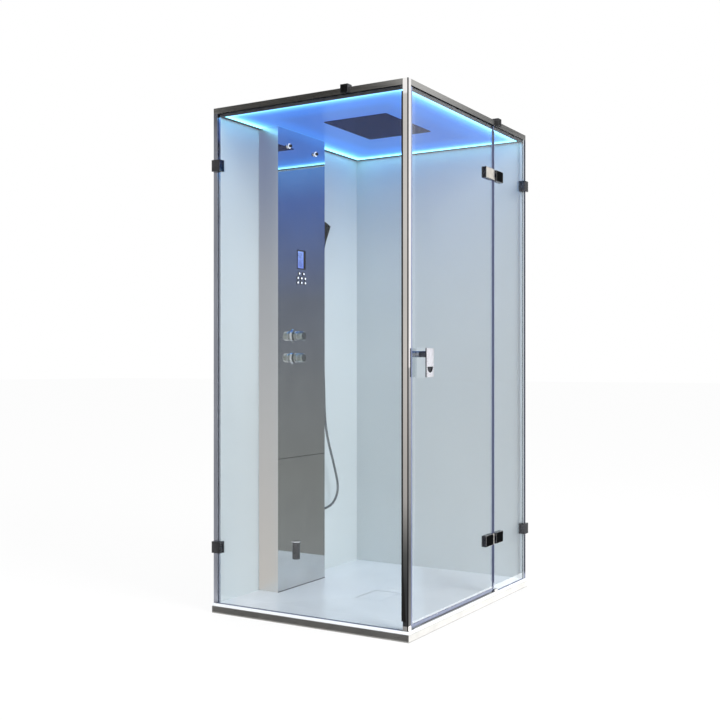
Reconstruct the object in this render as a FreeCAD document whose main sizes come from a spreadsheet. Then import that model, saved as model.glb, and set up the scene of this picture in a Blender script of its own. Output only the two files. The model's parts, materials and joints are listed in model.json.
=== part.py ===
import FreeCAD, Part
import math
import os
import re
import Sketcher
from FreeCAD import Placement, Rotation, Vector

# Steam shower cabin, millimetres, +Z up. The origin is on the floor under the middle of the tray.
# The front (-Y) holds the door, the left (-X) a fixed pane, the back (+Y) and right (+X) are walls.

doc = FreeCAD.newDocument("steam_cabin")

sizes = {
    # enclosure
    "cabinWidth": 1200, "cabinDepth": 965, "cabinHeight": 2200,
    "profileWidth": 24, "wallProfileDepth": 22, "railHeight": 24,
    "channelDepth": 10, "channelPlay": 0.3, "channelEndGap": 1,
    "glassThick": 8, "glassInset": 4, "wallThick": 12,
    "cornerBead": 4, "footHeight": 2, "screwChannel": 3.5,
    # tray, skirting strips and waste
    "trayHeight": 42, "trayLip": 5, "rimSide": 40, "rimBack": 128, "floorFall": 7,
    "fasciaHeight": 30, "fasciaThick": 2, "fasciaReturn": 16,
    "drainX": -72, "drainY": -44, "coverLength": 180, "coverWidth": 130, "coverThick": 4,
    "coverPlay": 1, "coverFoot": 1, "coverCorner": 4,
    "wasteFlange": 56, "wasteFlangeThick": 3, "wasteRadius": 45, "wasteWall": 3, "wastePlay": 0.5,
    "wasteFloor": 6, "spigotRadius": 25, "spigotWall": 3, "spigotFoot": 1,
    "nutRadius": 60, "nutFoot": 2, "nutThick": 10,
    "cellLength": 190, "cellWidth": 195, "cellDepth": 16, "cellRib": 25,
    # door and its seals
    "doorWidth": 783, "doorPostGap": 8, "doorEdgeGap": 3, "fixedEdgeGap": 10,
    "doorFloorGap": 14, "doorTopGap": 4, "sealThick": 1.5, "sealGrip": 6, "sealGap": 1,
    "dripDrop": 9, "hingeSealGap": 5.6, "thresholdHeight": 3, "thresholdWidth": 12,
    "footLength": 54, "footWidth": 33, "clipLength": 33, "clipHeight": 12, "clipCheek": 5,
    # hinges
    "hingeTopDrop": 252, "hingeFootRise": 288, "leafLength": 95, "leafHeight": 50, "leafThick": 10,
    "knuckleRadius": 11, "knuckleGap": 0.4, "armHalf": 10, "webThick": 3.7, "doorWebOffset": 13,
    "fixedWebOffset": 20, "pinRadius": 4, "pinPlay": 0.05, "pinHeadRadius": 7, "pinHeadThick": 2,
    "notchPlay": 0.3, "notchMargin": 2,
    # glass clamps on the wall profiles and on the rails
    "clampLength": 44, "clampHeight": 50, "clampProud": 14, "clampInner": 10, "clampScrewInset": 33,
    "clampScrewRadius": 5, "clampScrewPlay": 0.1, "clampHoleRadius": 8, "screwHeadRadius": 8,
    "screwHeadThick": 3, "railClampWidth": 36, "railClampProud": 12, "railClampOverlap": 20,
    "railClampDrop": 22, "leftRailClampY": -195, "frontRailClampGap": 44,
    # handle
    "handleInset": 83, "handleHeight": 1124, "plateWidth": 62, "plateHeight": 115, "plateThick": 5,
    "plateDrop": 34, "plateCorner": 2, "thumbRadius": 24, "thumbDrop": 21, "thumbDepth": 3,
    "standoff": 36, "spindleRadius": 12.5, "rodRadius": 5, "rodPlay": 0.1, "rodLength": 30,
    "knobBase": 16, "knobGroove": 2, "knobGrooveRadius": 10.5, "knobGrip": 23, "handleHolePlay": 1.5,
    # ceiling and rain head
    "ceilingThick": 5, "frameBarDrop": 13, "frameBarWidth": 10, "wallBarDrop": 8, "roofThick": 6,
    "roofRise": 17, "stripThick": 3, "stripHeight": 10, "stripGap": 2, "stripEndGap": 20,
    "rainX": -41, "rainY": -23, "rainLength": 412, "rainWidth": 322, "rainPlateThick": 3,
    "rainLap": 11, "rainBoxRise": 14, "rainBoxWall": 3, "rainRowPitch": 28, "rainNozzleRadius": 2,
    "rainRows": 11, "rainColumns": 14, "rainCorner": 6,
    # shower column
    "columnOffset": -91, "columnWidth": 390, "columnDepth": 110, "sheetThick": 1.5,
    "seamHeight": 650, "sheetGap": 0.5, "columnFlange": 15,
    "displayOffset": -7, "displayHeight": 1577, "displayWidth": 70, "displayTall": 90,
    "displayCollar": 3, "recessDepth": 8.5, "screenThick": 2, "screenPlay": 0.3,
    "boxWidth": 90, "boxHeight": 190, "boxDepth": 36, "boxDrop": 32,
    "buttonRadius": 6.5, "buttonPlay": 0.3, "buttonProud": 3, "buttonLength": 9, "buttonCollar": 1.5,
    "buttonCollarThick": 1.5, "buttonTravel": 1.5, "buttonPitch": 30, "buttonTopPitch": 36,
    "buttonDrop": 66, "buttonRow": 21.5,
    "mixerOffset": -63, "warmKnobHeight": 1114, "knobSpacing": 102, "mixerSetback": 25,
    "mixerWidth": 60, "mixerDepth": 50, "mixerMargin": 34, "stemRadius": 10, "stemPlay": 0.05,
    "stemReach": 35, "plateRing": 33, "plateRingThick": 5, "ringPlay": 0.6,
    "knobRadius": 23, "knobLength": 47, "knobBore": 30, "knobMark": 1.6, "knobEdge": 2,
    "jetSpread": 110, "jetDrop": 105, "jetFlange": 12, "jetFlangeThick": 4, "jetRadius": 7,
    "jetReach": 15, "jetStub": 8,
    "steamOffset": -49, "steamHeight": 173, "steamRadius": 18, "steamBody": 77, "steamRim": 22,
    "steamRimThick": 7, "steamWall": 2.5, "steamStub": 9, "steamStubHeight": 42, "steamStubReach": 20,
    "boilerOffset": -141, "boilerRadius": 42, "boilerFoot": 80, "boilerHeight": 250,
    "boilerFlange": 48, "boilerFlangeThick": 6, "boilerBracket": 30, "boilerPort": 220,
    # pipes inside the column and inlets on the roof
    "pipeRadius": 7, "pipeWall": 1, "pipeBend": 22, "feedRadius": 5, "steamPipeRadius": 8,
    "pipeSetback": 50, "inletSetback": 72, "hotOffset": -139, "coldOffset": 21,
    "inletRadius": 10.48, "inletLength": 11, "inletTop": 10, "holePlay": 1.5,
    "glandOffset": 75, "glandRadius": 9, "glandBore": 4,
    # hand shower, holder, outlet and hose
    "handSetback": 55, "handLean": 20, "holderReach": 48, "holderHeight": 1638.3, "cupSeat": 36,
    "cupHalf": 14, "cupRadius": 17, "cupPlay": 0.3, "cupSlot": 15, "holderFlange": 20,
    "holderFlangeThick": 4, "holderArm": 9, "handNeck": 11, "handGripWidth": 26, "handGripTop": 100,
    "handHeadWidth": 50, "handThick": 20, "handLength": 190, "handEdge": 5, "sprayThick": 3,
    "nutLength": 36, "nutTop": 10.5, "nutFootRadius": 8,
    "outletHeight": 366, "outletFlange": 22, "outletFlangeThick": 5, "outletNeck": 9,
    "outletNeckLength": 16, "outletNut": 11, "outletNutLength": 20, "outletTail": 8,
    "outletTailLength": 10, "hoseRadius": 6.5, "hoseLead": 52, "hoseTop": 56,
}

sheet = doc.addObject("Spreadsheet::Sheet", "sizes")
for row, (alias, size) in enumerate(sizes.items(), start=1):
    sheet.set(f"A{row}", alias)
    sheet.set(f"B{row}", str(size))
    sheet.setAlias(f"B{row}", alias)
doc.recompute()

# Places that several pieces share, each worked out from the sizes.
places = doc.addObject("App::VarSet", "places")
shared = {
    "sideX": "cabinWidth / 2",
    "sideY": "cabinDepth / 2",
    "innerX": "sideX - profileWidth",
    "innerY": "sideY - profileWidth",
    "wallFaceX": "sideX - wallThick",
    "wallFaceY": "sideY - wallThick",
    "railFoot": "cabinHeight - railHeight",
    "ceilingFoot": "railFoot - ceilingThick",
    "glassFoot": "trayHeight + footHeight",
    "glassTop": "railFoot + channelDepth - channelEndGap",
    "glassOuterX": "glassInset - sideX",
    "glassInnerX": "glassOuterX + glassThick",
    "glassOuterY": "glassInset - sideY",
    "glassInnerY": "glassOuterY + glassThick",
    "glassMidY": "glassOuterY + glassThick / 2",
    "slotOuter": "glassInset - channelPlay",
    "slotInner": "glassInset + glassThick + channelPlay",
    "skirtX": "sideX + trayLip",
    "skirtY": "sideY + trayLip",
    "trayX": "skirtX - fasciaThick",
    "trayY": "skirtY - fasciaThick",
    "floorLow": "trayHeight - floorFall",
    "coverSeat": "floorLow - coverThick - coverFoot",
    "wasteSeat": "coverSeat - wasteFlangeThick",
    "doorLeft": "doorPostGap - innerX",
    "doorRight": "doorLeft + doorWidth",
    "doorFoot": "trayHeight + doorFloorGap",
    "doorTop": "railFoot - doorTopGap",
    "hingeX": "doorRight + doorEdgeGap",
    "hingeHigh": "cabinHeight - hingeTopDrop",
    "paneLeft": "hingeX + fixedEdgeGap",
    "leafInner": "glassThick / 2",
    "leafOuter": "leafInner + leafThick",
    "knuckleHalf": "leafHeight / 6",
    "notchHalf": "leafHeight / 2 + notchMargin",
    "handleX": "doorLeft + handleInset",
    "plateFront": "glassOuterY - standoff - plateThick",
    "columnX": "columnOffset",
    "columnLeft": "columnX - columnWidth / 2",
    "columnRight": "columnX + columnWidth / 2",
    "columnFront": "wallFaceY - columnDepth",
    "sheetBack": "columnFront + sheetThick",
    "displayX": "columnX + displayOffset",
    "boxFront": "columnFront + recessDepth + screenThick",
    "mixerX": "columnX + mixerOffset",
    "flowKnobHeight": "warmKnobHeight + knobSpacing",
    "mixerFront": "columnFront + mixerSetback",
    "steamX": "columnX + steamOffset",
    "boilerX": "columnX + boilerOffset",
    "boilerY": "wallFaceY - columnDepth / 2",
    "pipeY": "columnFront + pipeSetback",
    "inletY": "columnFront + inletSetback",
    "roofFoot": "railFoot + roofRise",
    "rainPlateFoot": "ceilingFoot - rainPlateThick",
    "rainPipeZ": "railFoot + pipeRadius + holePlay",
    "handY": "columnFront + handSetback",
    "cupX": "columnRight + holderReach",
    "handX": "cupX - cupSeat * sin(handLean * 1deg)",
    "handZ": "holderHeight - cupSeat * cos(handLean * 1deg)",
}
owner = {alias: "sizes." for alias in sizes}
owner.update({name: "places." for name in shared})
word = re.compile(r"\b[A-Za-z_]\w*")


def bound(text):
    """The text with every size and place named in full, as an expression of the document."""
    return word.sub(lambda found: owner.get(found.group(0), "") + found.group(0), str(text))


for name, text in shared.items():
    places.addProperty("App::PropertyFloat", name)
    places.setExpression(name, bound(text))
doc.recompute()


def value(name):
    return float(sizes[name]) if name in sizes else float(getattr(places, name))


def number(text):
    """The value of a sum of sizes and places, for a start point or a computed shape."""
    text = word.sub(lambda found: f"({value(found.group(0))!r})", str(text))
    return FreeCAD.Units.Quantity(text).Value


def numbers(*texts):
    return Vector(*[number(text) for text in texts])


# Building blocks: outlines are lists of (across, up) points on one of the three origin planes.


def rectangle(left, right, low, high):
    return [(left, low), (right, low), (right, high), (left, high)]


def circle(across, up, radius):
    return ("circle", across, up, radius)


def outline_sketch(body, role, offset, outlines):
    plane = next(item for item in body.Origin.OriginFeatures if item.Role == role)
    sketch = body.newObject("Sketcher::SketchObject", "outline")
    sketch.AttachmentSupport = [(plane, "")]
    sketch.MapMode = "FlatFace"
    sketch.setExpression("AttachmentOffset.Base.z", bound(offset))
    rules = []
    texts = []

    def fix(geometry, point, across, up):
        for kind, text in (("DistanceX", across), ("DistanceY", up)):
            rules.append(Sketcher.Constraint(kind, -1, 1, geometry, point, number(text)))
            texts.append(text)

    for outline in outlines:
        first = sketch.GeometryCount
        if outline[0] == "circle":
            across, up, radius = outline[1:]
            middle = Vector(number(across), number(up), 0)
            sketch.addGeometry([Part.Circle(middle, Vector(0, 0, 1), number(radius))], False)
            fix(first, 3, across, up)
            rules.append(Sketcher.Constraint("Radius", first, number(radius)))
            texts.append(radius)
            continue
        corners = [Vector(number(across), number(up), 0) for across, up in outline]
        ends = corners[1:] + corners[:1]
        sketch.addGeometry([Part.LineSegment(a, b) for a, b in zip(corners, ends)], False)
        for index, (across, up) in enumerate(outline):
            before = first + (index - 1) % len(outline)
            rules.append(Sketcher.Constraint("Coincident", before, 2, first + index, 1))
            texts.append(None)
            fix(first + index, 1, across, up)
    sketch.addConstraint(rules)
    for index, text in enumerate(texts):
        if text is not None:
            sketch.setExpression(f"Constraints[{index}]", bound(text))
    return sketch


def new_body(label):
    body = doc.addObject("PartDesign::Body", label)
    body.Label = label
    body.AllowCompound = True  # loose pieces of one kind may share a body
    return body


def pad(body, role, low, high, *outlines):
    """Adds the outlines from low to high along the plane's world axis."""
    start = f"-({high})" if role == "XZ_Plane" else low
    feature = body.newObject("PartDesign::Pad", "pad")
    feature.Profile = outline_sketch(body, role, start, outlines)
    feature.setExpression("Length", bound(f"({high}) - ({low})"))
    body.Tip = feature
    return feature


def pocket(body, role, low, high, *outlines):
    """Cuts the outlines from low to high along the plane's world axis, and proves that it cut."""
    doc.recompute()
    before = body.Shape.Volume
    start = f"-({low})" if role == "XZ_Plane" else high
    feature = body.newObject("PartDesign::Pocket", "pocket")
    feature.Profile = outline_sketch(body, role, start, outlines)
    feature.setExpression("Length", bound(f"({high}) - ({low})"))
    body.Tip = feature
    doc.recompute()
    if not body.Shape.Volume < before:
        raise ValueError(f"a pocket in {body.Label} cuts nothing")
    return feature


def round_edges(body, radius, chosen):
    """Fillets the edges of the tip for which chosen(edge) is true."""
    doc.recompute()
    tip = body.Tip
    names = [f"Edge{i}" for i, edge in enumerate(tip.Shape.Edges, start=1) if chosen(edge)]
    feature = body.newObject("PartDesign::Fillet", "rounding")
    feature.Base = (tip, names)
    feature.setExpression("Radius", bound(radius))
    body.Tip = feature
    return feature


def along(axis):
    """Chooses the straight edges that run along a unit vector."""
    def chosen(edge):
        if edge.Curve.TypeId != "Part::GeomLine":
            return False
        return abs(edge.tangentAt(edge.FirstParameter).dot(axis)) > 0.999
    return chosen


def grid(body, feature, across, columns, up, rows):
    """Repeats a feature in columns and rows, stepping along its sketch's two axes."""
    doc.recompute()
    sketch = feature.Profile[0]
    many = body.newObject("PartDesign::MultiTransform", "grid")
    many.Originals = [feature]
    steps = []
    for axis, step, count in (("H_Axis", across, columns), ("V_Axis", up, rows)):
        line = body.newObject("PartDesign::LinearPattern", "row")
        line.Direction = (sketch, [axis])
        line.Length = number(step) * (count - 1)
        line.Occurrences = count
        line.setExpression("Length", bound(f"({step}) * {count - 1}"))
        steps.append(line)
    many.Transformations = steps
    body.Tip = many
    return many


def tube_path(points, bend=None):
    """Straight runs joined by tangent arcs, of one bend radius or as large as the runs allow."""
    edges = []
    radii = []
    start = points[0]
    for before, corner, after in zip(points, points[1:], points[2:]):
        into = (corner - before).normalize()
        out = (after - corner).normalize()
        half = into.getAngle(out) / 2
        shorter = min((corner - before).Length, (after - corner).Length)
        radius = bend or 0.45 * shorter / math.tan(half)
        trim = radius * math.tan(half)
        bisector = (out - into).normalize()
        begin = corner - into * trim
        middle = corner + bisector * (radius / math.cos(half) - radius)
        finish = corner + out * trim
        edges.append(Part.LineSegment(start, begin).toShape())
        edges.append(Part.Arc(begin, middle, finish).toShape())
        radii.append(radius)
        start = finish
    edges.append(Part.LineSegment(start, points[-1]).toShape())
    return Part.Wire(edges), radii


def rod(points, radius, bend=None):
    path, radii = tube_path(points, bend)
    ring = Part.Circle(points[0], points[1] - points[0], radius).toShape()
    return path.makePipeShell([Part.Wire([ring])], True, False), path.Length, radii


def pipe(points, radius):
    """A bent pipe with its bore."""
    outer = rod(points, radius, value("pipeBend"))[0]
    bore = rod(points, radius - value("pipeWall"), value("pipeBend"))[0]
    return outer.cut(bore)


def ring(top, radius, bore, length):
    """An upright sleeve whose upper face is centred on top."""
    foot = top - Vector(0, 0, number(length))
    outer = Part.makeCylinder(number(radius), number(length), foot)
    return outer.cut(Part.makeCylinder(number(bore), number(length), foot))


def computed(label, shape):
    feature = doc.addObject("Part::Feature", label)
    feature.Label = label
    feature.Shape = shape
    return feature


# Tray, skirting strips and waste.


def make_tray():
    body = new_body("tray")
    pad(body, "XY_Plane", "0", "trayHeight", rectangle("-trayX", "trayX", "-trayY", "trayY"))
    rim = rectangle("rimSide - sideX", "sideX - rimSide", "rimSide - sideY", "sideY - rimBack")
    margin = "coverPlay + fasciaThick"
    low = rectangle(
        f"drainX - coverLength / 2 - {margin}", f"drainX + coverLength / 2 + {margin}",
        f"drainY - coverWidth / 2 - {margin}", f"drainY + coverWidth / 2 + {margin}")
    fall = body.newObject("PartDesign::SubtractiveLoft", "floor_fall")
    fall.Profile = outline_sketch(body, "XY_Plane", "trayHeight", [rim])
    fall.Sections = [outline_sketch(body, "XY_Plane", "floorLow", [low])]
    fall.Ruled = True
    body.Tip = fall
    recess = rectangle(
        "drainX - coverLength / 2 - coverPlay", "drainX + coverLength / 2 + coverPlay",
        "drainY - coverWidth / 2 - coverPlay", "drainY + coverWidth / 2 + coverPlay")
    pocket(body, "XY_Plane", "coverSeat", "floorLow", recess)
    pocket(body, "XY_Plane", "wasteSeat", "coverSeat",
           circle("drainX", "drainY", "wasteFlange + wastePlay"))
    left = "-(2.5 * cellLength + 2 * cellRib)"
    front = "-(2 * cellWidth + 1.5 * cellRib)"
    cell = pocket(body, "XY_Plane", "0", "cellDepth",
                  rectangle(left, f"{left} + cellLength", front, f"{front} + cellWidth"))
    grid(body, cell, "cellLength + cellRib", 5, "cellWidth + cellRib", 4)
    pocket(body, "XY_Plane", "0", "wasteSeat",
           circle("drainX", "drainY", "wasteRadius + wastePlay"))
    pocket(body, "XY_Plane", "0", "nutFoot + nutThick",
           circle("drainX", "drainY", "nutRadius + wastePlay"))
    return body


def make_fascias():
    """One folded strip round the two open sides of the tray, with a return at each end."""
    body = new_body("fascias")
    pad(body, "XY_Plane", "0", "fasciaHeight", [
        ("-skirtX", "-skirtY"), ("skirtX", "-skirtY"), ("skirtX", "fasciaReturn - skirtY"),
        ("trayX", "fasciaReturn - skirtY"), ("trayX", "-trayY"), ("-trayX", "-trayY"),
        ("-trayX", "trayY"), ("fasciaReturn - skirtX", "trayY"),
        ("fasciaReturn - skirtX", "skirtY"), ("-skirtX", "skirtY")])
    return body


def make_drain_cover():
    body = new_body("drain_cover")
    outline = rectangle("drainX - coverLength / 2", "drainX + coverLength / 2",
                        "drainY - coverWidth / 2", "drainY + coverWidth / 2")
    pad(body, "XY_Plane", "coverSeat + coverFoot", "floorLow", outline)
    round_edges(body, "coverCorner", along(Vector(0, 0, 1)))
    feet = [circle(f"drainX + {side} * (coverLength / 2 - 3 * coverCorner)",
                   f"drainY + {end} * (coverWidth / 2 - 3 * coverCorner)", "coverCorner")
            for side in (-1, 1) for end in (-1, 1)]
    pad(body, "XY_Plane", "coverSeat", "coverSeat + coverFoot", *feet)
    return body


def make_waste():
    """A flanged cup with a spigot that points at the floor, and the nut that holds it from below."""
    body = new_body("waste_fittings")
    pad(body, "XY_Plane", "wasteSeat", "coverSeat", circle("drainX", "drainY", "wasteFlange"))
    pad(body, "XY_Plane", "wasteFloor", "wasteSeat", circle("drainX", "drainY", "wasteRadius"))
    pad(body, "XY_Plane", "spigotFoot", "wasteFloor", circle("drainX", "drainY", "spigotRadius"))
    pocket(body, "XY_Plane", "wasteFloor + wasteWall", "coverSeat",
           circle("drainX", "drainY", "wasteRadius - wasteWall"))
    pocket(body, "XY_Plane", "spigotFoot", "wasteFloor + wasteWall",
           circle("drainX", "drainY", "spigotRadius - spigotWall"))
    pad(body, "XY_Plane", "nutFoot", "nutFoot + nutThick", circle("drainX", "drainY", "nutRadius"),
        circle("drainX", "drainY", "wasteRadius + channelPlay"))
    return body


# Walls, profiles, rails and glass. A point of the corner pieces is given by its distance along the
# pane from the wall's outer plane, and its distance in from the pane's outer plane.


def corner_point(side, run, depth):
    if side == "left":
        return (f"{depth} - sideX", f"sideY - ({run})")
    return (f"sideX - ({run})", f"{depth} - sideY")


def make_walls():
    back = new_body("back_wall")
    pad(back, "XY_Plane", "trayHeight", "railFoot",
        rectangle("-innerX", "sideX", "wallFaceY", "sideY"))
    right = new_body("right_wall")
    pad(right, "XY_Plane", "trayHeight", "railFoot",
        rectangle("wallFaceX", "sideX", "-innerY", "wallFaceY"))
    return [back, right]


def make_wall_profile(side):
    body = new_body(f"wall_profile_{side}")
    slot = "wallProfileDepth - channelDepth"
    corners = [("0", "0"), ("0", "profileWidth"), ("wallProfileDepth", "profileWidth"),
               ("wallProfileDepth", "slotInner"), (slot, "slotInner"), (slot, "slotOuter"),
               ("wallProfileDepth", "slotOuter"), ("wallProfileDepth", "0")]
    pad(body, "XY_Plane", "trayHeight", "railFoot",
        [corner_point(side, run, depth) for run, depth in corners])
    return body


def make_post():
    """Square corner profile: a slot for the left pane, a rebate for the rubber bead."""
    body = new_body("corner_post")
    section = [
        ("cornerBead - sideX", "-sideY"), ("-innerX", "-sideY"), ("-innerX", "-innerY"),
        ("slotInner - sideX", "-innerY"), ("slotInner - sideX", "-innerY - channelDepth"),
        ("slotOuter - sideX", "-innerY - channelDepth"), ("slotOuter - sideX", "-innerY"),
        ("-sideX", "-innerY"), ("-sideX", "cornerBead - sideY"),
        ("cornerBead - sideX", "cornerBead - sideY")]
    channel = circle("-innerX - 2 * screwChannel", "2 * screwChannel - sideY", "screwChannel")
    pad(body, "XY_Plane", "glassFoot", "cabinHeight", section, channel)
    bead = new_body("corner_bead")
    pad(bead, "XY_Plane", "glassFoot", "cabinHeight",
        rectangle("-sideX", "cornerBead - sideX", "-sideY", "cornerBead - sideY"))
    return [body, bead]


def make_threshold():
    """Bar under the door with the post's foot, and the clip on the fixed pane's lower corner."""
    body = new_body("threshold")
    pad(body, "XY_Plane", "trayHeight", "trayHeight + thresholdHeight",
        rectangle("footLength - sideX", "paneLeft - sealGap",
                  "glassMidY - thresholdWidth / 2", "glassMidY + thresholdWidth / 2"))
    pad(body, "XY_Plane", "trayHeight", "glassFoot",
        rectangle("-sideX", "footLength - sideX", "-sideY", "footWidth - sideY"))
    pad(body, "YZ_Plane", "paneLeft", "paneLeft + clipLength", [
        ("glassOuterY - clipCheek", "trayHeight"), ("glassInnerY + clipCheek", "trayHeight"),
        ("glassInnerY + clipCheek", "trayHeight + clipHeight"),
        ("glassInnerY", "trayHeight + clipHeight"), ("glassInnerY", "glassFoot"),
        ("glassOuterY", "glassFoot"), ("glassOuterY", "trayHeight + clipHeight"),
        ("glassOuterY - clipCheek", "trayHeight + clipHeight")])
    return body


def make_rail(side):
    """Top rail over a pane, with a slot below for the glass and a hollow above it."""
    body = new_body(f"top_rail_{side}")
    edge = "sideX" if side == "left" else "sideY"
    hollow = "railFoot + channelDepth + fasciaThick"
    section = [
        (f"-{edge}", "railFoot"), (f"slotOuter - {edge}", "railFoot"),
        (f"slotOuter - {edge}", "railFoot + channelDepth"),
        (f"slotInner - {edge}", "railFoot + channelDepth"), (f"slotInner - {edge}", "railFoot"),
        (f"profileWidth - {edge}", "railFoot"), (f"profileWidth - {edge}", "cabinHeight"),
        (f"-{edge}", "cabinHeight")]
    chamber = rectangle(f"fasciaThick - {edge}", f"profileWidth - fasciaThick - {edge}",
                        hollow, "cabinHeight - fasciaThick")
    if side == "left":
        pad(body, "XZ_Plane", "-innerY", "sideY", section, chamber)
    else:
        pad(body, "YZ_Plane", "-innerX", "sideX", section, chamber)
    return body


def make_rear_rails():
    body = new_body("rear_top_rails")
    pad(body, "XY_Plane", "railFoot", "cabinHeight",
        rectangle("-innerX", "sideX", "innerY", "sideY"))
    pad(body, "XY_Plane", "railFoot", "cabinHeight",
        rectangle("innerX", "sideX", "-innerY", "innerY"))
    return body


def make_left_glass():
    body = new_body("left_glass")
    pad(body, "YZ_Plane", "glassOuterX", "glassInnerX",
        rectangle("channelEndGap - innerY - channelDepth",
                  "sideY - wallProfileDepth + channelDepth - channelEndGap",
                  "glassFoot", "glassTop"))
    pocket(body, "YZ_Plane", "glassOuterX", "glassInnerX",
           circle("sideY - clampScrewInset", "hingeHigh", "clampHoleRadius"),
           circle("sideY - clampScrewInset", "hingeFootRise", "clampHoleRadius"))
    return body


def make_front_glass():
    """Fixed pane beside the door, notched round the hinges' webs."""
    body = new_body("front_glass")
    pad(body, "XZ_Plane", "glassOuterY", "glassInnerY",
        rectangle("paneLeft", "sideX - wallProfileDepth + channelDepth - channelEndGap",
                  "glassFoot", "glassTop"))
    cut = "hingeX + fixedWebOffset + webThick + notchPlay"
    for height in ("hingeHigh", "hingeFootRise"):
        pocket(body, "XZ_Plane", "glassOuterY", "glassInnerY",
               rectangle("paneLeft", cut, f"{height} - notchHalf", f"{height} + notchHalf"),
               circle("sideX - clampScrewInset", height, "clampHoleRadius"))
    return body


def make_door_glass():
    body = new_body("door_glass")
    pad(body, "XZ_Plane", "glassOuterY", "glassInnerY",
        rectangle("doorLeft", "doorRight", "doorFoot", "doorTop"))
    cut = "hingeX - doorWebOffset - webThick - notchPlay"
    for height in ("hingeHigh", "hingeFootRise"):
        pocket(body, "XZ_Plane", "glassOuterY", "glassInnerY",
               rectangle(cut, "doorRight", f"{height} - notchHalf", f"{height} + notchHalf"))
    pocket(body, "XZ_Plane", "glassOuterY", "glassInnerY",
           circle("handleX", "handleHeight", "rodRadius + handleHolePlay"))
    return body


def make_seals():
    """Bedding strips under the fixed panes, a strip on the hinge edge, and the door's own seals."""
    fixed = new_body("glass_seals")
    pad(fixed, "XY_Plane", "trayHeight", "glassFoot",
        rectangle("glassOuterX - sealThick", "glassInnerX + sealThick",
                  "footWidth - sideY", "sideY - wallProfileDepth"),
        rectangle("paneLeft + clipLength", "sideX - wallProfileDepth",
                  "glassOuterY - sealThick", "glassInnerY + sealThick"))
    spans = [("doorFoot", "hingeFootRise - notchHalf"),
             ("hingeFootRise + notchHalf", "hingeHigh - notchHalf"),
             ("hingeHigh + notchHalf", "doorTop")]
    pad(fixed, "XZ_Plane", "glassOuterY", "glassInnerY",
        *[rectangle("hingeX + hingeSealGap", "paneLeft", low, high) for low, high in spans])
    magnet = new_body("door_magnet_seal")
    pad(magnet, "XY_Plane", "doorFoot", "doorTop", [
        ("sealGap - innerX", "glassOuterY - sealThick"),
        ("doorLeft + sealGrip", "glassOuterY - sealThick"), ("doorLeft + sealGrip", "glassOuterY"),
        ("doorLeft", "glassOuterY"), ("doorLeft", "glassInnerY"),
        ("doorLeft + sealGrip", "glassInnerY"), ("doorLeft + sealGrip", "glassInnerY + sealThick"),
        ("sealGap - innerX", "glassInnerY + sealThick")])
    drip = new_body("door_drip_seal")
    fin = "doorFoot - dripDrop"
    pad(drip, "YZ_Plane", "doorLeft + sealGrip + sealGap", "doorRight - sealGap", [
        ("glassOuterY - sealThick", "doorFoot + sealGrip"), ("glassOuterY", "doorFoot + sealGrip"),
        ("glassOuterY", "doorFoot"), ("glassInnerY", "doorFoot"),
        ("glassInnerY", "doorFoot + sealGrip"), ("glassInnerY + sealThick", "doorFoot + sealGrip"),
        ("glassInnerY + sealThick", "doorFoot - sealThick"),
        ("glassMidY + sealThick", "doorFoot - sealThick"), ("glassMidY + sealThick", fin),
        ("glassMidY", fin), ("glassMidY", "doorFoot - sealThick"),
        ("glassOuterY - sealThick", "doorFoot - sealThick")])
    return [fixed, magnet, drip]


# Hinges, clamps and handle.


def make_hinge(name, height):
    """Two clamping leaves in the plane of the glass, turning on one upright pin."""
    low, high = f"{height} - leafHeight / 2", f"{height} + leafHeight / 2"
    inner, outer = "glassMidY + leafInner", "glassMidY + leafOuter"
    back, front = "glassMidY - leafInner", "glassMidY - leafOuter"
    knuckle = circle("hingeX", "glassMidY", "knuckleRadius")
    bore = circle("hingeX", "glassMidY", "pinRadius + pinPlay")
    leaves = []
    for label, side, offset in (("door", -1, "doorWebOffset"), ("frame", 1, "fixedWebOffset")):
        body = new_body(f"{name}_hinge_{label}_leaf")
        tip = f"hingeX + {side} * leafLength"
        web = f"hingeX + {side} * {offset}"
        root = f"hingeX + {side} * ({offset} + webThick)"
        pad(body, "XY_Plane", low, high, [
            (tip, front), (web, front), (web, outer), (tip, outer),
            (tip, inner), (root, inner), (root, back), (tip, back)])
        arm = rectangle("hingeX", root, "glassMidY - armHalf", "glassMidY + armHalf")
        if label == "door":
            spans = [(f"{height} - knuckleHalf", f"{height} + knuckleHalf")]
        else:
            spans = [(low, f"{height} - knuckleHalf - knuckleGap"),
                     (f"{height} + knuckleHalf + knuckleGap", high)]
        for start, end in spans:
            pad(body, "XY_Plane", start, end, knuckle)
            pad(body, "XY_Plane", start, end, arm)
        pocket(body, "XY_Plane", low, high, bore)
        leaves.append(body)
    return leaves


def make_hinge_pins():
    body = new_body("hinge_pins")
    for height in ("hingeHigh", "hingeFootRise"):
        top = f"{height} + leafHeight / 2"
        pad(body, "XY_Plane", f"{height} - leafHeight / 2", top,
            circle("hingeX", "glassMidY", "pinRadius"))
        pad(body, "XY_Plane", top, f"{top} + pinHeadThick",
            circle("hingeX", "glassMidY", "pinHeadRadius"))
    return body


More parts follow.
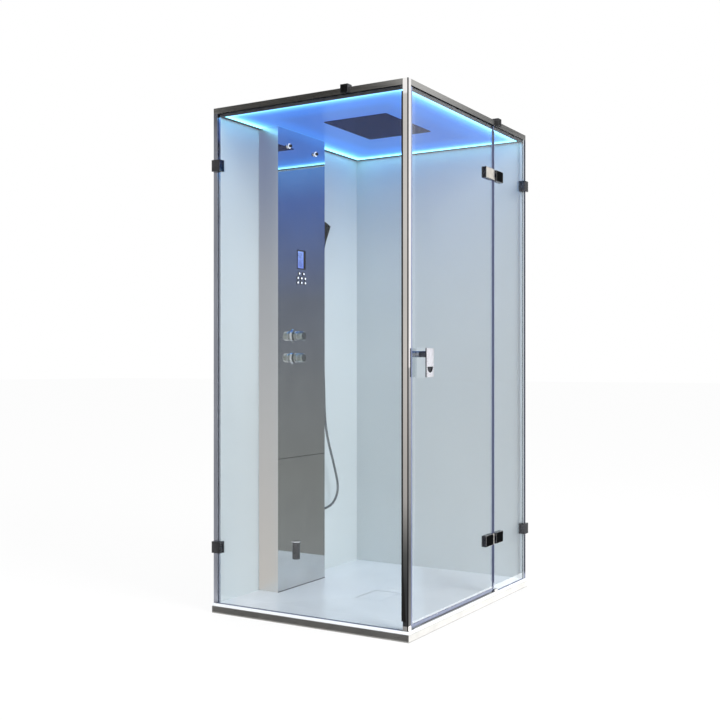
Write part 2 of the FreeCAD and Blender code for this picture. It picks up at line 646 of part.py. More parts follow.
def make_wall_clamps():
    """Each clamp is an outer block over the wall profile and an inner plate, with a screw."""
    clamps = new_body("wall_clamps")
    screws = new_body("clamp_screws")
    blind = "glassInset - clampProud / 2"
    for side in ("left", "right"):
        block = [("0", "-clampProud"), ("0", "0"), ("wallProfileDepth", "0"),
                 ("wallProfileDepth", "glassInset"), ("clampLength", "glassInset"),
                 ("clampLength", "-clampProud")]
        face = "glassInset + glassThick"
        plate = [("wallProfileDepth", face), ("wallProfileDepth", f"{face} + clampInner"),
                 ("clampLength", f"{face} + clampInner"), ("clampLength", face)]
        for height in ("hingeHigh", "hingeFootRise"):
            low, high = f"{height} - clampHeight / 2", f"{height} + clampHeight / 2"
            for outline in (block, plate):
                pad(clamps, "XY_Plane", low, high,
                    [corner_point(side, run, depth) for run, depth in outline])
        if side == "left":
            role, edge, across = "YZ_Plane", "sideX", "sideY - clampScrewInset"
        else:
            role, edge, across = "XZ_Plane", "sideY", "sideX - clampScrewInset"
        head = f"{face} + clampInner - {edge}"
        for height in ("hingeHigh", "hingeFootRise"):
            pocket(clamps, role, f"{blind} - {edge}", head,
                   circle(across, height, "clampScrewRadius + clampScrewPlay"))
            pad(screws, role, f"{blind} - {edge}", head, circle(across, height, "clampScrewRadius"))
            pad(screws, role, head, f"{head} + screwHeadThick",
                circle(across, height, "screwHeadRadius"))
            pocket(screws, role, f"{head} + sealThick", f"{head} + screwHeadThick",
                   circle(across, height, "clampScrewRadius / 2"))
    return [clamps, screws]


def make_rail_clamps():
    """Two hooks over the top rails, above the panes that they steady."""
    body = new_body("rail_clamps")

    def hook(edge):
        low, over = "cabinHeight - railClampDrop", "cabinHeight + railClampProud"
        return [(f"-{edge} - railClampProud", low), (f"-{edge}", low),
                (f"-{edge}", "cabinHeight"), (f"railClampOverlap - {edge}", "cabinHeight"),
                (f"railClampOverlap - {edge}", over), (f"-{edge} - railClampProud", over)]

    pad(body, "XZ_Plane", "leftRailClampY - railClampWidth / 2",
        "leftRailClampY + railClampWidth / 2", hook("sideX"))
    middle = "hingeX + frontRailClampGap"
    pad(body, "YZ_Plane", f"{middle} - railClampWidth / 2", f"{middle} + railClampWidth / 2",
        hook("sideY"))
    return body


def make_handle():
    """Flat plate that stands off the door on a spindle, and the round knob inside."""
    plate = new_body("handle_plate")
    low = "handleHeight - plateDrop - plateHeight / 2"
    back = "glassOuterY - standoff"
    pad(plate, "XZ_Plane", "plateFront", back,
        rectangle("handleX - plateWidth / 2", "handleX + plateWidth / 2",
                  low, f"{low} + plateHeight"))
    round_edges(plate, "plateCorner", along(Vector(0, 1, 0)))
    doc.recompute()
    dish = plate.newObject("PartDesign::Pocket", "thumb_dish")
    dish.Profile = half_disc(plate, "-plateFront", "handleX", f"{low} + 2 * thumbDrop", "thumbRadius")
    dish.setExpression("Length", bound("thumbDepth"))
    plate.Tip = dish
    pad(plate, "XZ_Plane", back, "glassOuterY", circle("handleX", "handleHeight", "spindleRadius"))
    pad(plate, "XZ_Plane", "glassOuterY", "glassInnerY + rodLength",
        circle("handleX", "handleHeight", "rodRadius"))
    knob = new_body("handle_knob")
    start = "glassInnerY"
    for length, radius in (("knobBase", "spindleRadius"), ("knobGroove", "knobGrooveRadius"),
                           ("knobGrip", "spindleRadius")):
        pad(knob, "XZ_Plane", start, f"{start} + {length}",
            circle("handleX", "handleHeight", radius))
        start = f"{start} + {length}"
    pocket(knob, "XZ_Plane", "glassInnerY", "glassInnerY + rodLength + rodPlay",
           circle("handleX", "handleHeight", "rodRadius + rodPlay"))
    return [plate, knob]


def half_disc(body, offset, across, up, radius):
    """A half circle that hangs from a level line."""
    plane = next(item for item in body.Origin.OriginFeatures if item.Role == "XZ_Plane")
    sketch = body.newObject("Sketcher::SketchObject", "outline")
    sketch.AttachmentSupport = [(plane, "")]
    sketch.MapMode = "FlatFace"
    sketch.setExpression("AttachmentOffset.Base.z", bound(offset))
    middle = Vector(number(across), number(up), 0)
    reach = Vector(number(radius), 0, 0)
    whole = Part.Circle(middle, Vector(0, 0, 1), number(radius))
    sketch.addGeometry([Part.ArcOfCircle(whole, math.pi, 2 * math.pi),
                        Part.LineSegment(middle + reach, middle - reach)], False)
    sketch.addConstraint([
        Sketcher.Constraint("Coincident", 0, 2, 1, 1), Sketcher.Constraint("Coincident", 0, 1, 1, 2),
        Sketcher.Constraint("Horizontal", 1), Sketcher.Constraint("PointOnObject", 0, 3, 1),
        Sketcher.Constraint("Radius", 0, number(radius)),
        Sketcher.Constraint("DistanceX", -1, 1, 0, 3, number(across)),
        Sketcher.Constraint("DistanceY", -1, 1, 0, 3, number(up))])
    for index, text in ((4, radius), (5, across), (6, up)):
        sketch.setExpression(f"Constraints[{index}]", bound(text))
    return sketch


# Ceiling.


def make_ceiling():
    """Dark edge bars, the lit panel with its cut-outs, light strips above it, and the roof lid."""
    bars = new_body("ceiling_frame")
    pad(bars, "XY_Plane", "railFoot - frameBarDrop", "railFoot",
        rectangle("-innerX - frameBarWidth", "-innerX", "-innerY", "innerY"),
        rectangle("-innerX", "innerX", "-innerY - frameBarWidth", "-innerY"))
    pad(bars, "XY_Plane", "railFoot - wallBarDrop", "railFoot",
        rectangle("innerX", "wallFaceX", "-innerY", "innerY"),
        rectangle("-innerX", "columnLeft", "innerY", "wallFaceY"),
        rectangle("columnRight", "innerX", "innerY", "wallFaceY"))
    panel = new_body("ceiling_panel")
    pad(panel, "XY_Plane", "ceilingFoot", "railFoot",
        rectangle("-innerX", "innerX", "-innerY", "innerY"))
    holes = [rectangle("mixerX - pipeRadius - holePlay", "mixerX + pipeRadius + holePlay",
                       "pipeY - pipeBend", "pipeY + pipeRadius + holePlay"),
             circle("columnX + hotOffset", "inletY", "pipeRadius + holePlay"),
             circle("columnX + coldOffset", "inletY", "pipeRadius + holePlay"),
             circle("columnX + glandOffset", "inletY", "glandRadius + holePlay")]
    half_length, half_width = "(rainLength / 2 - rainLap)", "(rainWidth / 2 - rainLap)"
    pocket(panel, "XY_Plane", "ceilingFoot", "railFoot", *holes, rectangle(
        f"rainX - {half_length}", f"rainX + {half_length}",
        f"rainY - {half_width}", f"rainY + {half_width}"))
    strips = new_body("led_strips")
    end_x, end_y = "innerX - stripEndGap", "innerY - stripEndGap"
    pad(strips, "XY_Plane", "railFoot + stripGap", "railFoot + stripGap + stripHeight",
        rectangle("-innerX", "stripThick - innerX", f"-({end_y})", end_y),
        rectangle("innerX - stripThick", "innerX", f"-({end_y})", end_y),
        rectangle(f"-({end_x})", end_x, "-innerY", "stripThick - innerY"),
        rectangle(f"-({end_x})", end_x, "innerY - stripThick", "innerY"))
    roof = new_body("roof_panel")
    pad(roof, "XY_Plane", "roofFoot", "roofFoot + roofThick",
        rectangle("-innerX", "innerX", "-innerY", "innerY"))
    pocket(roof, "XY_Plane", "roofFoot", "roofFoot + roofThick",
           circle("columnX + hotOffset", "inletY", "inletRadius + holePlay"),
           circle("columnX + coldOffset", "inletY", "inletRadius + holePlay"),
           circle("columnX + glandOffset", "inletY", "glandRadius + holePlay"))
    return [bars, panel, strips, roof]


def make_rain_head():
    """Flat water box let into the ceiling, closed below by a plate with a grid of nozzle holes."""
    box = new_body("rain_head_box")
    top = "ceilingFoot + rainBoxRise"
    half_length, half_width = "(rainLength / 2 - rainLap - channelPlay)", "(rainWidth / 2 - rainLap - channelPlay)"
    pad(box, "XY_Plane", "ceilingFoot", top, rectangle(
        f"rainX - {half_length}", f"rainX + {half_length}",
        f"rainY - {half_width}", f"rainY + {half_width}"))
    pocket(box, "XY_Plane", "ceilingFoot", f"{top} - rainBoxWall", rectangle(
        f"rainX - {half_length} + rainBoxWall", f"rainX + {half_length} - rainBoxWall",
        f"rainY - {half_width} + rainBoxWall", f"rainY + {half_width} - rainBoxWall"))
    plate = new_body("rain_head_plate")
    pad(plate, "XY_Plane", "rainPlateFoot", "ceilingFoot", rectangle(
        "rainX - rainLength / 2", "rainX + rainLength / 2",
        "rainY - rainWidth / 2", "rainY + rainWidth / 2"))
    round_edges(plate, "rainCorner", along(Vector(0, 0, 1)))
    columns, rows = int(value("rainColumns")), int(value("rainRows"))
    hole = pocket(plate, "XY_Plane", "rainPlateFoot", "ceilingFoot", circle(
        f"rainX - rainRowPitch * {(columns - 1) / 2}", f"rainY - rainRowPitch * {(rows - 1) / 2}",
        "rainNozzleRadius"))
    grid(plate, hole, "rainRowPitch", columns, "rainRowPitch", rows)
    return [box, plate]


# Shower column and what it carries.


def button_spots():
    """Two buttons over two rows of three, under the display."""
    top = "displayHeight - buttonDrop"
    spots = [(f"displayX + {side} * buttonTopPitch / 2", top) for side in (-1, 1)]
    for row in (1, 2):
        spots += [(f"displayX + {side} * buttonPitch", f"{top} - {row} * buttonRow")
                  for side in (-1, 0, 1)]
    return spots


def make_column():
    """Folded sheet casing, open at the back, with a separate service panel below the seam."""
    shell = new_body("column_shell")
    pad(shell, "XY_Plane", "seamHeight", "ceilingFoot",
        rectangle("columnLeft", "columnRight", "columnFront", "wallFaceY"))
    pad(shell, "XY_Plane", "trayHeight", "seamHeight",
        rectangle("columnLeft", "columnRight", "sheetBack", "wallFaceY"))
    pocket(shell, "XY_Plane", "trayHeight", "ceilingFoot",
           rectangle("columnLeft + sheetThick", "columnRight - sheetThick",
                     "sheetBack + sheetThick", "wallFaceY"))
    pocket(shell, "XY_Plane", "seamHeight + columnFlange", "ceilingFoot",
           rectangle("columnLeft + sheetThick", "columnRight - sheetThick",
                     "sheetBack", "sheetBack + sheetThick"))
    pocket(shell, "XZ_Plane", "sheetBack", "sheetBack + sheetThick",
           rectangle("columnLeft + columnFlange", "columnRight - columnFlange",
                     "trayHeight + columnFlange", "seamHeight - columnFlange"))
    openings = [rectangle("displayX - displayWidth / 2", "displayX + displayWidth / 2",
                          "displayHeight - displayTall / 2", "displayHeight + displayTall / 2")]
    openings += [circle(across, up, "buttonRadius + buttonPlay") for across, up in button_spots()]
    openings += [circle("mixerX", height, "stemRadius + ringPlay")
                 for height in ("flowKnobHeight", "warmKnobHeight")]
    openings += [circle(f"columnX + {side} * jetSpread", "cabinHeight - jetDrop",
                        "jetStub + channelPlay") for side in (-1, 1)]
    pocket(shell, "XZ_Plane", "columnFront", "sheetBack", *openings)
    pocket(shell, "YZ_Plane", "columnRight - sheetThick", "columnRight",
           circle("handY", "outletHeight", "outletNeck + channelPlay"))
    panel = new_body("column_panel")
    pad(panel, "XZ_Plane", "columnFront", "sheetBack",
        rectangle("columnLeft", "columnRight", "trayHeight", "seamHeight - sheetGap"),
        circle("steamX", "steamHeight + steamStubHeight", "steamStub + channelPlay"))
    return [shell, panel]


def make_display():
    """Lit screen at the bottom of a recess, in front of the box with the controls."""
    screen = new_body("display_screen")
    half_width, half_height = "(displayWidth / 2 - screenPlay)", "(displayTall / 2 - screenPlay)"
    pad(screen, "XZ_Plane", "boxFront - screenThick", "boxFront",
        rectangle(f"displayX - {half_width}", f"displayX + {half_width}",
                  f"displayHeight - {half_height}", f"displayHeight + {half_height}"))
    box = new_body("control_box")
    low, high = "displayHeight - boxDrop - boxHeight / 2", "displayHeight - boxDrop + boxHeight / 2"
    pad(box, "XZ_Plane", "boxFront", "boxFront + boxDepth",
        rectangle("displayX - boxWidth / 2", "displayX + boxWidth / 2", low, high))
    pad(box, "XZ_Plane", "sheetBack", "boxFront",
        rectangle("displayX - displayWidth / 2 - displayCollar",
                  "displayX + displayWidth / 2 + displayCollar",
                  "displayHeight - displayTall / 2 - displayCollar",
                  "displayHeight + displayTall / 2 + displayCollar"),
        rectangle("displayX - displayWidth / 2", "displayX + displayWidth / 2",
                  "displayHeight - displayTall / 2", "displayHeight + displayTall / 2"))
    return [screen, box]


def make_buttons():
    """Round keys, each held behind the sheet by its collar."""
    buttons = []
    for index, (across, up) in enumerate(button_spots(), start=1):
        body = new_body(f"button_{index}")
        front = "columnFront - buttonProud"
        pad(body, "XZ_Plane", front, f"{front} + buttonLength", circle(across, up, "buttonRadius"))
        pad(body, "XZ_Plane", "sheetBack + channelPlay", "sheetBack + channelPlay + buttonCollarThick",
            circle(across, up, "buttonRadius + buttonCollar"))
        buttons.append(body)
    return buttons


def make_mixer():
    """Valve block with two stems, and a ring plate round each stem on the casing."""
    body = new_body("mixer_body")
    pad(body, "XZ_Plane", "mixerFront", "mixerFront + mixerDepth",
        rectangle("mixerX - mixerWidth / 2", "mixerX + mixerWidth / 2",
                  "warmKnobHeight - mixerMargin", "flowKnobHeight + mixerMargin"))
    stems = [circle("mixerX", height, "stemRadius") for height in ("flowKnobHeight", "warmKnobHeight")]
    pad(body, "XZ_Plane", "columnFront - stemReach", "mixerFront", *stems)
    for height in ("flowKnobHeight", "warmKnobHeight"):
        pad(body, "XZ_Plane", "columnFront - plateRingThick", "columnFront",
            circle("mixerX", height, "plateRing"),
            circle("mixerX", height, "stemRadius + ringPlay"))
    return body


def make_knob(label, height):
    """Round knob that turns on a stem, with a groove along its top as a mark."""
    body = new_body(label)
    back = "columnFront - plateRingThick - sealGap"
    pad(body, "XZ_Plane", f"{back} - knobLength", back, circle("mixerX", height, "knobRadius"))
    doc.recompute()
    face = min(body.Tip.Shape.Faces, key=lambda item: item.CenterOfMass.y).Edges[0]
    round_edges(body, "knobEdge", lambda edge: edge.isSame(face))
    pocket(body, "XZ_Plane", f"{back} - knobBore", back,
           circle("mixerX", height, "stemRadius + stemPlay"))
    pocket(body, "XZ_Plane", f"{back} - knobLength", back,
           circle("mixerX", f"{height} + knobRadius", "knobMark"))
    return body


def make_jets():
    body = new_body("jets")
    for side in (-1, 1):
        across, up = f"columnX + {side} * jetSpread", "cabinHeight - jetDrop"
        pad(body, "XZ_Plane", "columnFront - jetFlangeThick", "columnFront",
            circle(across, up, "jetFlange"))
        pad(body, "XZ_Plane", "columnFront - jetReach", "columnFront - jetFlangeThick",
            circle(across, up, "jetRadius"))
        pad(body, "XZ_Plane", "columnFront", "pipeY - pipeRadius - channelPlay",
            circle(across, up, "jetStub"))
        pocket(body, "XZ_Plane", "columnFront - jetReach", "pipeY - pipeRadius - channelPlay",
               circle(across, up, "jetRadius / 2"))
    return body


def make_steam_outlet():
    """Half-round cup on the service panel, open below, over the pipe that brings the steam."""
    body = new_body("steam_outlet")
    top = "steamHeight + steamBody"
    pad(body, "XY_Plane", "steamHeight", top, circle("steamX", "columnFront", "steamRadius"))
    pad(body, "XY_Plane", top, f"{top} + steamRimThick", circle("steamX", "columnFront", "steamRim"))
    pocket(body, "XY_Plane", "steamHeight", f"{top} - steamWall",
           circle("steamX", "columnFront", "steamRadius - steamWall"))
    pocket(body, "XY_Plane", "steamHeight", f"{top} + steamRimThick",
           rectangle("steamX - 2 * steamRim", "steamX + 2 * steamRim",
                     "columnFront", "columnFront + 2 * steamRim"))
    up = "steamHeight + steamStubHeight"
    pad(body, "XZ_Plane", "columnFront - steamWall", "columnFront", circle("steamX", up, "steamRadius - steamWall / 2"))
    pad(body, "XZ_Plane", "columnFront", "columnFront + steamStubReach",
        circle("steamX", up, "steamStub"))
    pocket(body, "XZ_Plane", "columnFront - steamWall", "columnFront + steamStubReach",
           circle("steamX", up, "steamStub - steamWall"))
    return body


def make_boiler():
    """Steam generator: upright tank, flanged lid with the heater's head, and two wall brackets."""
    body = new_body("steam_generator")
    top = "boilerFoot + boilerHeight"
    pad(body, "XY_Plane", "boilerFoot", top, circle("boilerX", "boilerY", "boilerRadius"))
    pad(body, "XY_Plane", top, f"{top} + boilerFlangeThick",
        circle("boilerX", "boilerY", "boilerFlange"))
    pad(body, "XY_Plane", f"{top} + boilerFlangeThick", f"{top} + 4 * boilerFlangeThick",
        circle("boilerX", "boilerY", "boilerRadius / 3"))
    for low in ("boilerFoot + boilerBracket", f"{top} - 2 * boilerBracket"):
        pad(body, "XY_Plane", low, f"{low} + boilerBracket",
            rectangle("boilerX - boilerRadius / 2", "boilerX + boilerRadius / 2",
                      "boilerY", "wallFaceY"))
    return body


def make_pipes():
    """Hot and cold feeds with threaded ends on the roof, rain pipe with the jets' bar, hand shower
    pipe, boiler feed, steam pipe and the cable's conduit."""
    radius, feed, wide = value("pipeRadius"), value("feedRadius"), value("steamPipeRadius")
    port = "(flowKnobHeight + warmKnobHeight) / 2"
    solids = []
    for offset, side in (("hotOffset", -1), ("coldOffset", 1)):
        top = numbers(f"columnX + {offset}", "inletY", "cabinHeight + inletTop")
        feed_pipe = pipe([top, numbers(f"columnX + {offset}", "inletY", port),
                          numbers(f"mixerX + {side} * mixerWidth / 2", "inletY", port)], radius)
        threaded = ring(top, "inletRadius", "pipeRadius - pipeWall", "inletLength")
        solids.append(feed_pipe.fuse(threaded))
    rain = pipe([
        numbers("mixerX", "pipeY", "flowKnobHeight + mixerMargin"),
        numbers("mixerX", "pipeY", "rainPipeZ"),
        numbers("mixerX", "rainY + rainWidth / 2 - rainLap - channelPlay", "rainPipeZ")], radius)
    bar_end = numbers("columnX - jetSpread - jetRadius", "pipeY", "cabinHeight - jetDrop")
    bar = Part.makeCylinder(radius, number("2 * (jetSpread + jetRadius)"), bar_end, Vector(1, 0, 0))
    solids.append(rain.fuse(bar))
    solids.append(pipe([
        numbers("mixerX", "handY", "warmKnobHeight - mixerMargin"),
        numbers("mixerX", "handY", "outletHeight"),
        numbers("columnRight - sheetThick - channelPlay", "handY", "outletHeight")], radius))
    solids.append(pipe([
        numbers("mixerX + mixerWidth / 3", "inletY", "warmKnobHeight - mixerMargin"),
        numbers("mixerX + mixerWidth / 3", "inletY", "boilerFoot + 2 * boilerBracket"),
        numbers("boilerX", "inletY", "boilerFoot + 2 * boilerBracket")], feed))
    steam_level = "boilerFoot + boilerPort"
    solids.append(pipe([
        numbers("boilerX", "pipeY - pipeRadius", steam_level),
        numbers("steamX", "pipeY - pipeRadius", steam_level),
        numbers("steamX", "pipeY - pipeRadius", "steamHeight + steamStubHeight"),
        numbers("steamX", "columnFront + steamStubReach", "steamHeight + steamStubHeight")], wide))
    solids.append(ring(numbers("columnX + glandOffset", "inletY", "cabinHeight + inletTop"),
                       "glandRadius", "glandBore", "cabinHeight + inletTop - ceilingFoot"))
    tank = Part.makeCylinder(value("boilerRadius"), value("boilerHeight"),
                             numbers("boilerX", "boilerY", "boilerFoot"))
    return computed("column_pipes", Part.makeCompound([solid.cut(tank) for solid in solids]))


# Hand shower. Its pieces are drawn upright from the foot of its neck and leaned over together.


def lean(body):
    body.Placement = Placement(Vector(), Rotation(Vector(0, 1, 0), value("handLean")))
    for axis, text in (("x", "handX"), ("y", "handY"), ("z", "handZ")):
        body.setExpression(f"Placement.Base.{axis}", bound(text))
    body.setExpression("Placement.Rotation.Angle", bound("handLean"))
    return body


def make_handset():
    body = new_body("handset")
    neck_top = "cupSeat + cupHalf"
    pad(body, "XY_Plane", "0", neck_top, circle("0", "0", "handNeck"))
    half = "handThick / 2"
    pad(body, "XY_Plane", neck_top, "handGripTop",
        rectangle("-handGripWidth / 2", "handGripWidth / 2", f"-{half}", half))
    pad(body, "XZ_Plane", f"-{half}", half, [
        ("-handGripWidth / 2", "handGripTop"), ("handGripWidth / 2", "handGripTop"),
        ("handHeadWidth / 2", "handLength"), ("-handHeadWidth / 2", "handLength")])
    foot, top = "handGripTop + 2 * handEdge", "handLength - handEdge"
    flare = "(handHeadWidth - handGripWidth) / (handLength - handGripTop) / 2"
    narrow = f"handGripWidth / 2 + {flare} * 2 * handEdge - handEdge"
    wide = f"handHeadWidth / 2 - {flare} * handEdge - handEdge"
    pad(body, "XZ_Plane", f"-{half} - sprayThick", f"-{half}",
        [(f"-({narrow})", foot), (narrow, foot), (wide, top), (f"-({wide})", top)])
    return lean(body)


def make_hose_nut():
    """Tapered nut that joins the hose to the neck."""
    body = new_body("hose_nut")
    cone = body.newObject("PartDesign::AdditiveLoft", "taper")
    cone.Profile = outline_sketch(body, "XY_Plane", "-nutLength", [circle("0", "0", "nutFootRadius")])
    cone.Sections = [outline_sketch(body, "XY_Plane", "0", [circle("0", "0", "nutTop")])]
    body.Tip = cone
    return lean(body)


def make_holder():
    """Wall rose, arm and open cup in which the hand shower's neck stands."""
    reach = number("cupX - columnRight")
    start = numbers("columnRight", "handY", "holderHeight")
    flange = Part.makeCylinder(value("holderFlange"), value("holderFlangeThick"), start, Vector(1, 0, 0))
    arm = Part.makeCylinder(value("holderArm"), reach, start, Vector(1, 0, 0))
    cup = Part.makeCylinder(value("cupRadius"), 2 * value("cupHalf"),
                            numbers("0", "0", "cupSeat - cupHalf"))
    bore = Part.makeCylinder(value("handNeck") + value("cupPlay"), value("handLength"),
                             numbers("0", "0", "-nutLength"))
    slot = Part.makeBox(value("cupSlot"), 2 * value("cupRadius"), value("handLength"),
                        numbers("-cupSlot / 2", "-2 * cupRadius", "-nutLength"))
    leaned = Placement(numbers("handX", "handY", "handZ"), Rotation(Vector(0, 1, 0), value("handLean")))
    for shape in (cup, bore, slot):
        shape.Placement = leaned
    return computed("handset_holder", flange.fuse([arm, cup]).removeSplitter().cut([bore, slot]))


def make_hand_outlet():
    """Nipple on the column's side with the hose's lower nut screwed on it."""
    body = new_body("hand_outlet")
    start = "columnRight"
    spot = ("handY", "outletHeight")
    pad(body, "YZ_Plane", "columnRight - sheetThick", start, circle(*spot, "outletNeck"))
    for length, radius in (("outletFlangeThick", "outletFlange"), ("outletNeckLength", "outletNeck"),
                           ("outletNutLength", "outletNut"), ("outletTailLength", "outletTail")):
        pad(body, "YZ_Plane", start, f"{start} + {length}", circle(*spot, radius))
        start = f"{start} + {length}"
    return body


def hose_route():
    """Free route of the hose: out of the side outlet, round in a wide bend and up to the nut."""
    start = numbers(
        "columnRight + outletFlangeThick + outletNeckLength + outletNutLength + outletTailLength",
        "handY", "outletHeight")
    axis = Rotation(Vector(0, 1, 0), value("handLean")).multVec(Vector(0, 0, 1))
    end = numbers("handX", "handY", "handZ") - axis * value("nutLength")
    chosen = [(262, 413, 384), (297, 410, 424), (301, 408, 476), (283, 409, 531), (255, 410, 604),
              (222, 411, 680), (196, 412, 760), (184, 413, 850), (181, 414, 975),
              (172, 415, 1120), (152, 416, 1280), (128, 416, 1405)]
    return [start, start + Vector(value("hoseLead"), 0, 0), *[Vector(*point) for point in chosen],
            end - axis * value("hoseTop"), end]


def make_hose():
    points = hose_route()
    tube, length, radii = rod(points, value("hoseRadius"))
    section = math.pi * value("hoseRadius") ** 2
    print("hose length", round(length, 1), "least radius", round(min(radii), 1),
          "radii", [round(radius) for radius in radii])
    print("hose volume over section times length", round(tube.Volume / (section * length), 4))
    return computed("shower_hose", tube)


nodes = [make_tray(), make_fascias(), make_drain_cover(), make_waste()]
nodes += [*make_walls(), make_wall_profile("left"), make_wall_profile("right")]
nodes += [*make_post(), make_threshold(), make_rail("left"), make_rail("front"), make_rear_rails()]
nodes += [make_left_glass(), make_front_glass(), make_door_glass(), *make_seals()]
nodes += [*make_hinge("upper", "hingeHigh"), *make_hinge("lower", "hingeFootRise"), make_hinge_pins()]
nodes += [*make_wall_clamps(), make_rail_clamps(), *make_handle()]
nodes += [*make_ceiling(), *make_rain_head(), *make_column(), *make_display(), *make_buttons()]
nodes += [make_mixer(), make_knob("flow_knob", "flowKnobHeight")]
nodes += [make_knob("warm_knob", "warmKnobHeight"), make_jets(), make_steam_outlet()]
nodes += [make_boiler(), make_pipes(), make_handset(), make_hose_nut()]
nodes += [make_holder(), make_hand_outlet(), make_hose()]
doc.recompute()

for item in doc.Objects:
    if "Invalid" in item.State or "Error" in item.State:
        raise ValueError(f"{item.Label} failed: {item.State}")
for node in nodes:
    if node.Shape.isNull() or not node.Shape.isValid() or not node.Shape.Solids:
        raise ValueError(f"{node.Label} has no valid solid")

os.makedirs("parts", exist_ok=True)
for node in nodes:
    node.Shape.exportStep(f"parts/{node.Label}.step")
print(len(nodes), "nodes written")
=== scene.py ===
import json
import math

import bmesh
import bpy
from mathutils import Matrix, Vector

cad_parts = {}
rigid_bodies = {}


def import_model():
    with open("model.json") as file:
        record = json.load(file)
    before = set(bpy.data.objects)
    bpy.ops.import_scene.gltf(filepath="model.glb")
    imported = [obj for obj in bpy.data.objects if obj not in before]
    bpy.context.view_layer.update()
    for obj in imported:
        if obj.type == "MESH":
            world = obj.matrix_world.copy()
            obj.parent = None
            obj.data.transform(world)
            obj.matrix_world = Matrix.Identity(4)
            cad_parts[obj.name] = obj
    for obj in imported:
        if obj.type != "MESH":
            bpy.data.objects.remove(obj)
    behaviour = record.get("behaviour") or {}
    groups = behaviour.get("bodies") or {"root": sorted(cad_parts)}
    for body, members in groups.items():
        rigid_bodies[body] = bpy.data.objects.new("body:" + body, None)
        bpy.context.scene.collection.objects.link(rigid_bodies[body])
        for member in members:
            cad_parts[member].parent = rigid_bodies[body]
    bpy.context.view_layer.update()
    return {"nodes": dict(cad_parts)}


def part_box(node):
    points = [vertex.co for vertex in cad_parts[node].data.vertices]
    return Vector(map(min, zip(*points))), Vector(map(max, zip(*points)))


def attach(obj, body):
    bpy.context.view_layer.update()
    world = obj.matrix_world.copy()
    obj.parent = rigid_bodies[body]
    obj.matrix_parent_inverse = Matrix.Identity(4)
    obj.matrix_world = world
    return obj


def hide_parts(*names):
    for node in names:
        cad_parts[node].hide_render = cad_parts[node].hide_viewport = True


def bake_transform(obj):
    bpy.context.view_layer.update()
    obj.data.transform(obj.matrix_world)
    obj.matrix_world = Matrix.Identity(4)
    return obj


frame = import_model()
cadNodes = frame["nodes"]
sceneItems = bpy.context.scene.collection.objects
print("stage: frame loaded,", len(cadNodes), "nodes")


def colour(hexText):
    # sRGB hex to linear light
    parts = [int(hexText[i:i + 2], 16) / 255 for i in (0, 2, 4)]
    return (*[c / 12.92 if c <= 0.04045 else ((c + 0.055) / 1.055) ** 2.4 for c in parts], 1.0)


def addNode(tree, kind, inputs=None, settings=None):
    # one node with its settings; an input is a value, or the node or socket that feeds it
    node = tree.nodes.new(kind)
    for name, setting in (settings or {}).items():
        setattr(node, name, setting)
    for name, source in (inputs or {}).items():
        if isinstance(source, bpy.types.Node):
            source = source.outputs[0]
        if isinstance(source, bpy.types.NodeSocket):
            tree.links.new(source, node.inputs[name])
        else:
            node.inputs[name].default_value = source
    return node


# Camera at the photograph's place: 52 mm lens, level, looking 31 degrees from +X towards +Y.

cameraSettings = {
    "place": (-4.16128, -2.41103, 1.08084), "yaw": 31.04, "lens": 52.007,
    "shiftX": -0.00122, "shiftY": 0.00694,
}
cameraData = bpy.data.cameras.new("camera")
cameraData.lens = cameraSettings["lens"]
cameraData.sensor_width = 36
cameraData.shift_x = cameraSettings["shiftX"]
cameraData.shift_y = cameraSettings["shiftY"]
cameraData.clip_end = 200
camera = bpy.data.objects.new("camera", cameraData)
camera.location = cameraSettings["place"]
camera.rotation_euler = (math.radians(90), 0, math.radians(cameraSettings["yaw"] - 90))
sceneItems.link(camera)
bpy.context.scene.camera = camera
bpy.context.scene.view_settings.view_transform = "Standard"
print("stage: camera")


# Finishes. Most share one build: the colour drifts in patches, roughness and relief follow the grain.

noiseSpan = (0.3, 0.7)
metal = {"Metallic": 1.0}


def newMaterial(name):
    material = bpy.data.materials.new(name)
    material.use_nodes = True
    material.node_tree.nodes.clear()
    return material, material.node_tree


def fillRamp(ramp, bands):
    # bands are (position, shade); a new ramp has two stops
    stops = ramp.color_ramp.elements
    for index, (position, shade) in enumerate(bands):
        stop = stops[index] if index < 2 else stops.new(position)
        stop.position = position
        stop.color = colour(shade)


def grainedFinish(name, look, shaderInputs):
    material, tree = newMaterial(name)
    shader = addNode(tree, "ShaderNodeBsdfPrincipled", shaderInputs)
    addNode(tree, "ShaderNodeOutputMaterial", {"Surface": shader})
    place = addNode(tree, "ShaderNodeTexCoord").outputs["Object"]
    patches = addNode(tree, "ShaderNodeTexNoise", {
        "Vector": place, "Scale": 1 / look["patch"], "Detail": 3.0})
    drift = addNode(tree, "ShaderNodeValToRGB", {"Fac": patches.outputs["Fac"]})
    fillRamp(drift, zip(noiseSpan, look["shades"]))
    drawn = addNode(tree, "ShaderNodeMapping", {
        "Vector": place, "Scale": look.get("stretch", (1, 1, 1))})
    grain = addNode(tree, "ShaderNodeTexNoise", {
        "Vector": drawn, "Scale": 1 / look["grain"], "Detail": 4.0})
    sheen = addNode(tree, "ShaderNodeMapRange", {
        "Value": grain.outputs["Fac"], "From Min": noiseSpan[0], "From Max": noiseSpan[1],
        "To Min": look["roughness"][0], "To Max": look["roughness"][1]})
    bump = addNode(tree, "ShaderNodeBump", {
        "Height": grain.outputs["Fac"], "Strength": look["relief"], "Distance": look.get("depth", 0.0002)})
    tree.links.new(drift.outputs["Color"], shader.inputs["Base Color"])
    tree.links.new(sheen.outputs[0], shader.inputs["Roughness"])
    tree.links.new(bump.outputs[0], shader.inputs["Normal"])
    return material


def shaderInput(material, label):
    return material.node_tree.nodes["Principled BSDF"].inputs[label]


